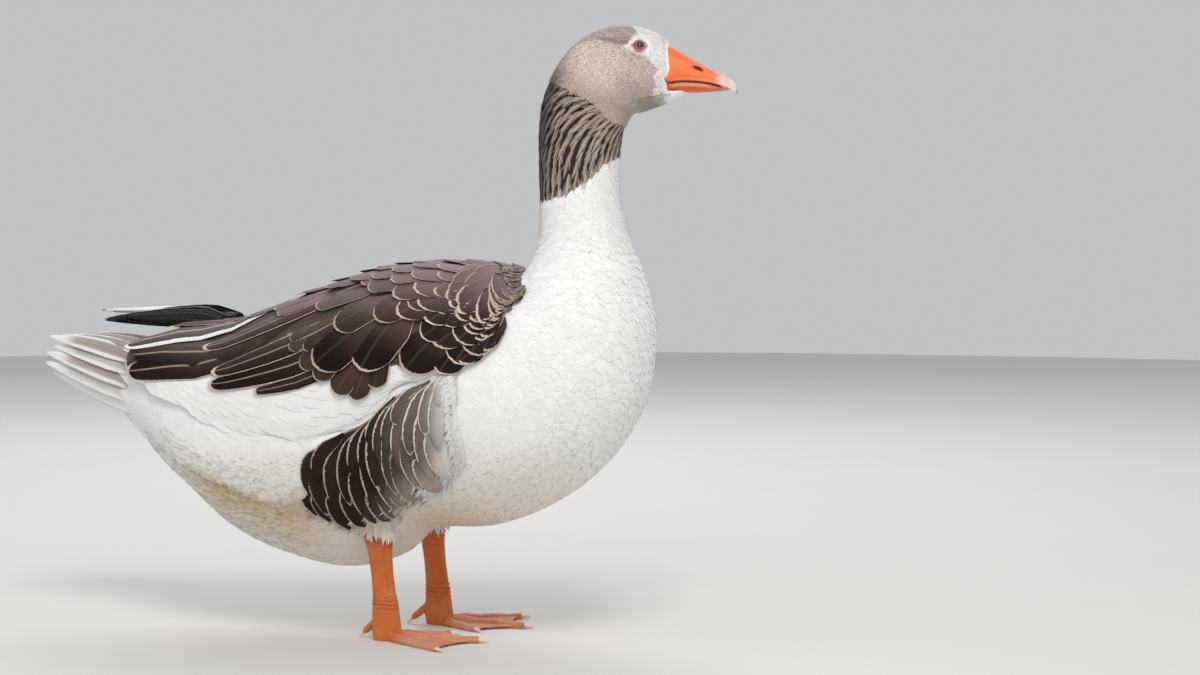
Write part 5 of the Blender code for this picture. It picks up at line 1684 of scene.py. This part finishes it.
def legs(finish):
    """Each leg and its webbed foot as one skin, with creases at the joints and scutes down the front."""
    for name, side in SIDES.items():
        mesh = made_mesh(merged(f"leg_{name}", f"foot_{name}"), f"leg_and_foot_{name}")
        piece = dress(mesh.name, mesh, finish)
        remesh = piece.modifiers.new("one_skin", "REMESH")
        remesh.mode, remesh.voxel_size = "VOXEL", 0.00085
        calm = piece.modifiers.new("calm", "SMOOTH")
        calm.factor, calm.iterations = 0.5, 7
        done = bpy.data.meshes.new_from_object(piece.evaluated_get(bpy.context.evaluated_depsgraph_get()))
        piece.modifiers.clear()
        piece.data = done
        done.shade_smooth()
        points = mesh_points(done)
        normals = mesh_points(done, "normal")
        x = points[:, 0] - SHIFT[0] - LEG_X[name] + (points[:, 2] - LEG_BEND_Z) * LEG_LEAN
        y, z = (points[:, 1] * side - LEG_Y), points[:, 2]
        shank = smooth((z - 0.030) / 0.008)
        joint = hump(z - 0.036, 0.008) + 0.8 * hump(z - 0.104, 0.012)
        wrinkle = z * 1500 + 2.2 * np.sin(y * 260)
        creases = np.sin(wrinkle + x * 90 + ripple(points, 120)) * joint * 0.0007
        front = smooth((x - 0.003) / 0.006) * shank
        scutes = np.abs(np.sin(z * 640 + y * 60)) ** 0.4 * 0.0007 * front * smooth((0.105 - z) / 0.01)
        tendon = -hump(np.abs(y) - 0.0052, 0.0018) * 0.0011 * shank * smooth((0.10 - z) / 0.02) * (x < 0.008)
        web = smooth((0.0062 - z) / 0.003) * (z > 0.0008)
        folds = np.sin((x * 220 + y * 340) + 3 * ripple(points, 60)) * 0.00016 * web
        lift = np.where(z > 0.0009, creases + scutes + tendon + folds, 0)
        points = points + normals * lift[:, None]
        points[:, 2] = np.maximum(points[:, 2], 0.00005)
        done.vertices.foreach_set("co", points.ravel())
        tone = mix(LEG_ORANGE, LEG_LIGHT, 0.5 + 0.5 * ripple(points, 110))
        # the foot paler: partly the web's own pink, partly painted light from above
        pale = smooth((0.0125 - z) / 0.006) * smooth((x - 0.008) / 0.02)
        tone = mix(tone, WEB_PINK_AND_LIT, pale * (0.70 + 0.3 * ripple(points, 90, 1)))
        tone = mix(tone, JOINT_RED, joint * smooth(0.2 - np.sin(wrinkle)) * 0.35)
        # painted shade under the body, darker towards the top of the leg
        tone = mix(tone, THIGH_SHADE, smooth((z - 0.095) / 0.02) * 0.5)
        paint(done, "Plumage", tone)
        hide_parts(f"leg_{name}", f"foot_{name}")


def claws():
    """The CAD claws, in horn that is pink at the root and pale at the tip."""
    made = Finish("claw", 0.40, Coat_Weight=0.2)
    grain = made.noise(500, 3)
    tone = made.blend(grain, (0.70, 0.42, 0.31), (0.86, 0.72, 0.62))
    horn = made.done(tone, 0.34 + grain * 0.15, grain, 0.0002)
    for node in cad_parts:
        if node.startswith("claw_"):
            piece = bpy.data.objects[node]
            piece.data.materials.clear()
            piece.data.materials.append(horn)


# ---------------------------------------------------------------- studio
def studio():
    bpy.ops.mesh.primitive_circle_add(vertices=96, radius=4.5, fill_type="NGON", location=(0, 0, 0))
    floor = bpy.context.object
    floor.name = "floor"
    made = Finish("studio_floor", 0.85)
    floor.data.materials.append(made.done(made.shade((0.66, 0.65, 0.63), 0.97 + made.noise(3, 2) * 0.06)))
    world = bpy.data.worlds.new("studio")
    bpy.context.scene.world = world
    world.use_nodes = True
    world.node_tree.nodes["Background"].inputs[0].default_value = (0.92, 0.935, 0.96, 1)
    world.node_tree.nodes["Background"].inputs[1].default_value = 0.58
    for name, place, size, power, tone in (
        ("key", (1.1, -2.0, 2.7), 1.2, 54, (1, 0.965, 0.93)),
        ("front", (2.0, -2.1, 0.8), 2.2, 11, (1, 0.98, 0.96)),
        ("fill", (-2.2, -1.6, 1.3), 2.0, 8, (0.95, 0.97, 1)),
        ("back", (-0.8, 2.0, 2.2), 1.6, 34, (1, 1, 1)),
    ):
        lamp = bpy.data.lights.new(name, "AREA")
        lamp.size, lamp.energy, lamp.color = size, power, tone
        holder = bpy.data.objects.new(name, lamp)
        bpy.context.scene.collection.objects.link(holder)
        holder.location = place
        holder.rotation_euler = (Vector((0, 0, 0.28)) - Vector(place)).to_track_quat("-Z", "Y").to_euler()
    turn, dip, away, aside, up = radians(20), 3.3, 2.9, 0.187, 0.464
    right, back = Vector((cos(turn), sin(turn), 0)), Vector((sin(turn), -cos(turn), 0))
    lens = bpy.data.cameras.new("camera")
    lens.sensor_width, lens.lens = 36, 87
    camera = bpy.data.objects.new("camera", lens)
    bpy.context.scene.collection.objects.link(camera)
    camera.location = Vector(SHIFT) * Vector((1, 1, 0)) + back * away + right * aside + Vector((0, 0, up))
    camera.rotation_euler = (radians(90 - dip), 0, turn)
    bpy.context.scene.camera = camera
    bpy.context.scene.view_settings.view_transform = "Standard"


studio()
down, plush, lock = down_finish(), plush_finish(), lock_finish()
vane = vane_finish("saddle_feather")
flank_vane, white_vane = vane_finish("flank_feather", 0.65, 1.6, 0.05, 1.3), vane_finish("tail_feather", 0.55)
primary_vane = vane_finish("primary_feather", 0.42, 1.0, 0.16)
skin()
eyes()
bill(bill_finish())
legs(leg_finish())
claws()
white_plumes(down)
hair_locks(down)
head_plush(plush)
chin(down)
neck_locks(lock)
mantle(vane)
for name, side in SIDES.items():
    secondaries(down, side, name)
    wing_lower_plumes(down, side, name)
    wing_plumage(vane, side, name)
    tertials(vane, side, name)
    flank_feathers(flank_vane, side, name)
    flank_edges(down, side, name)
    thigh_tufts(down, side, name)
tail_feathers(white_vane)
primaries(primary_vane)
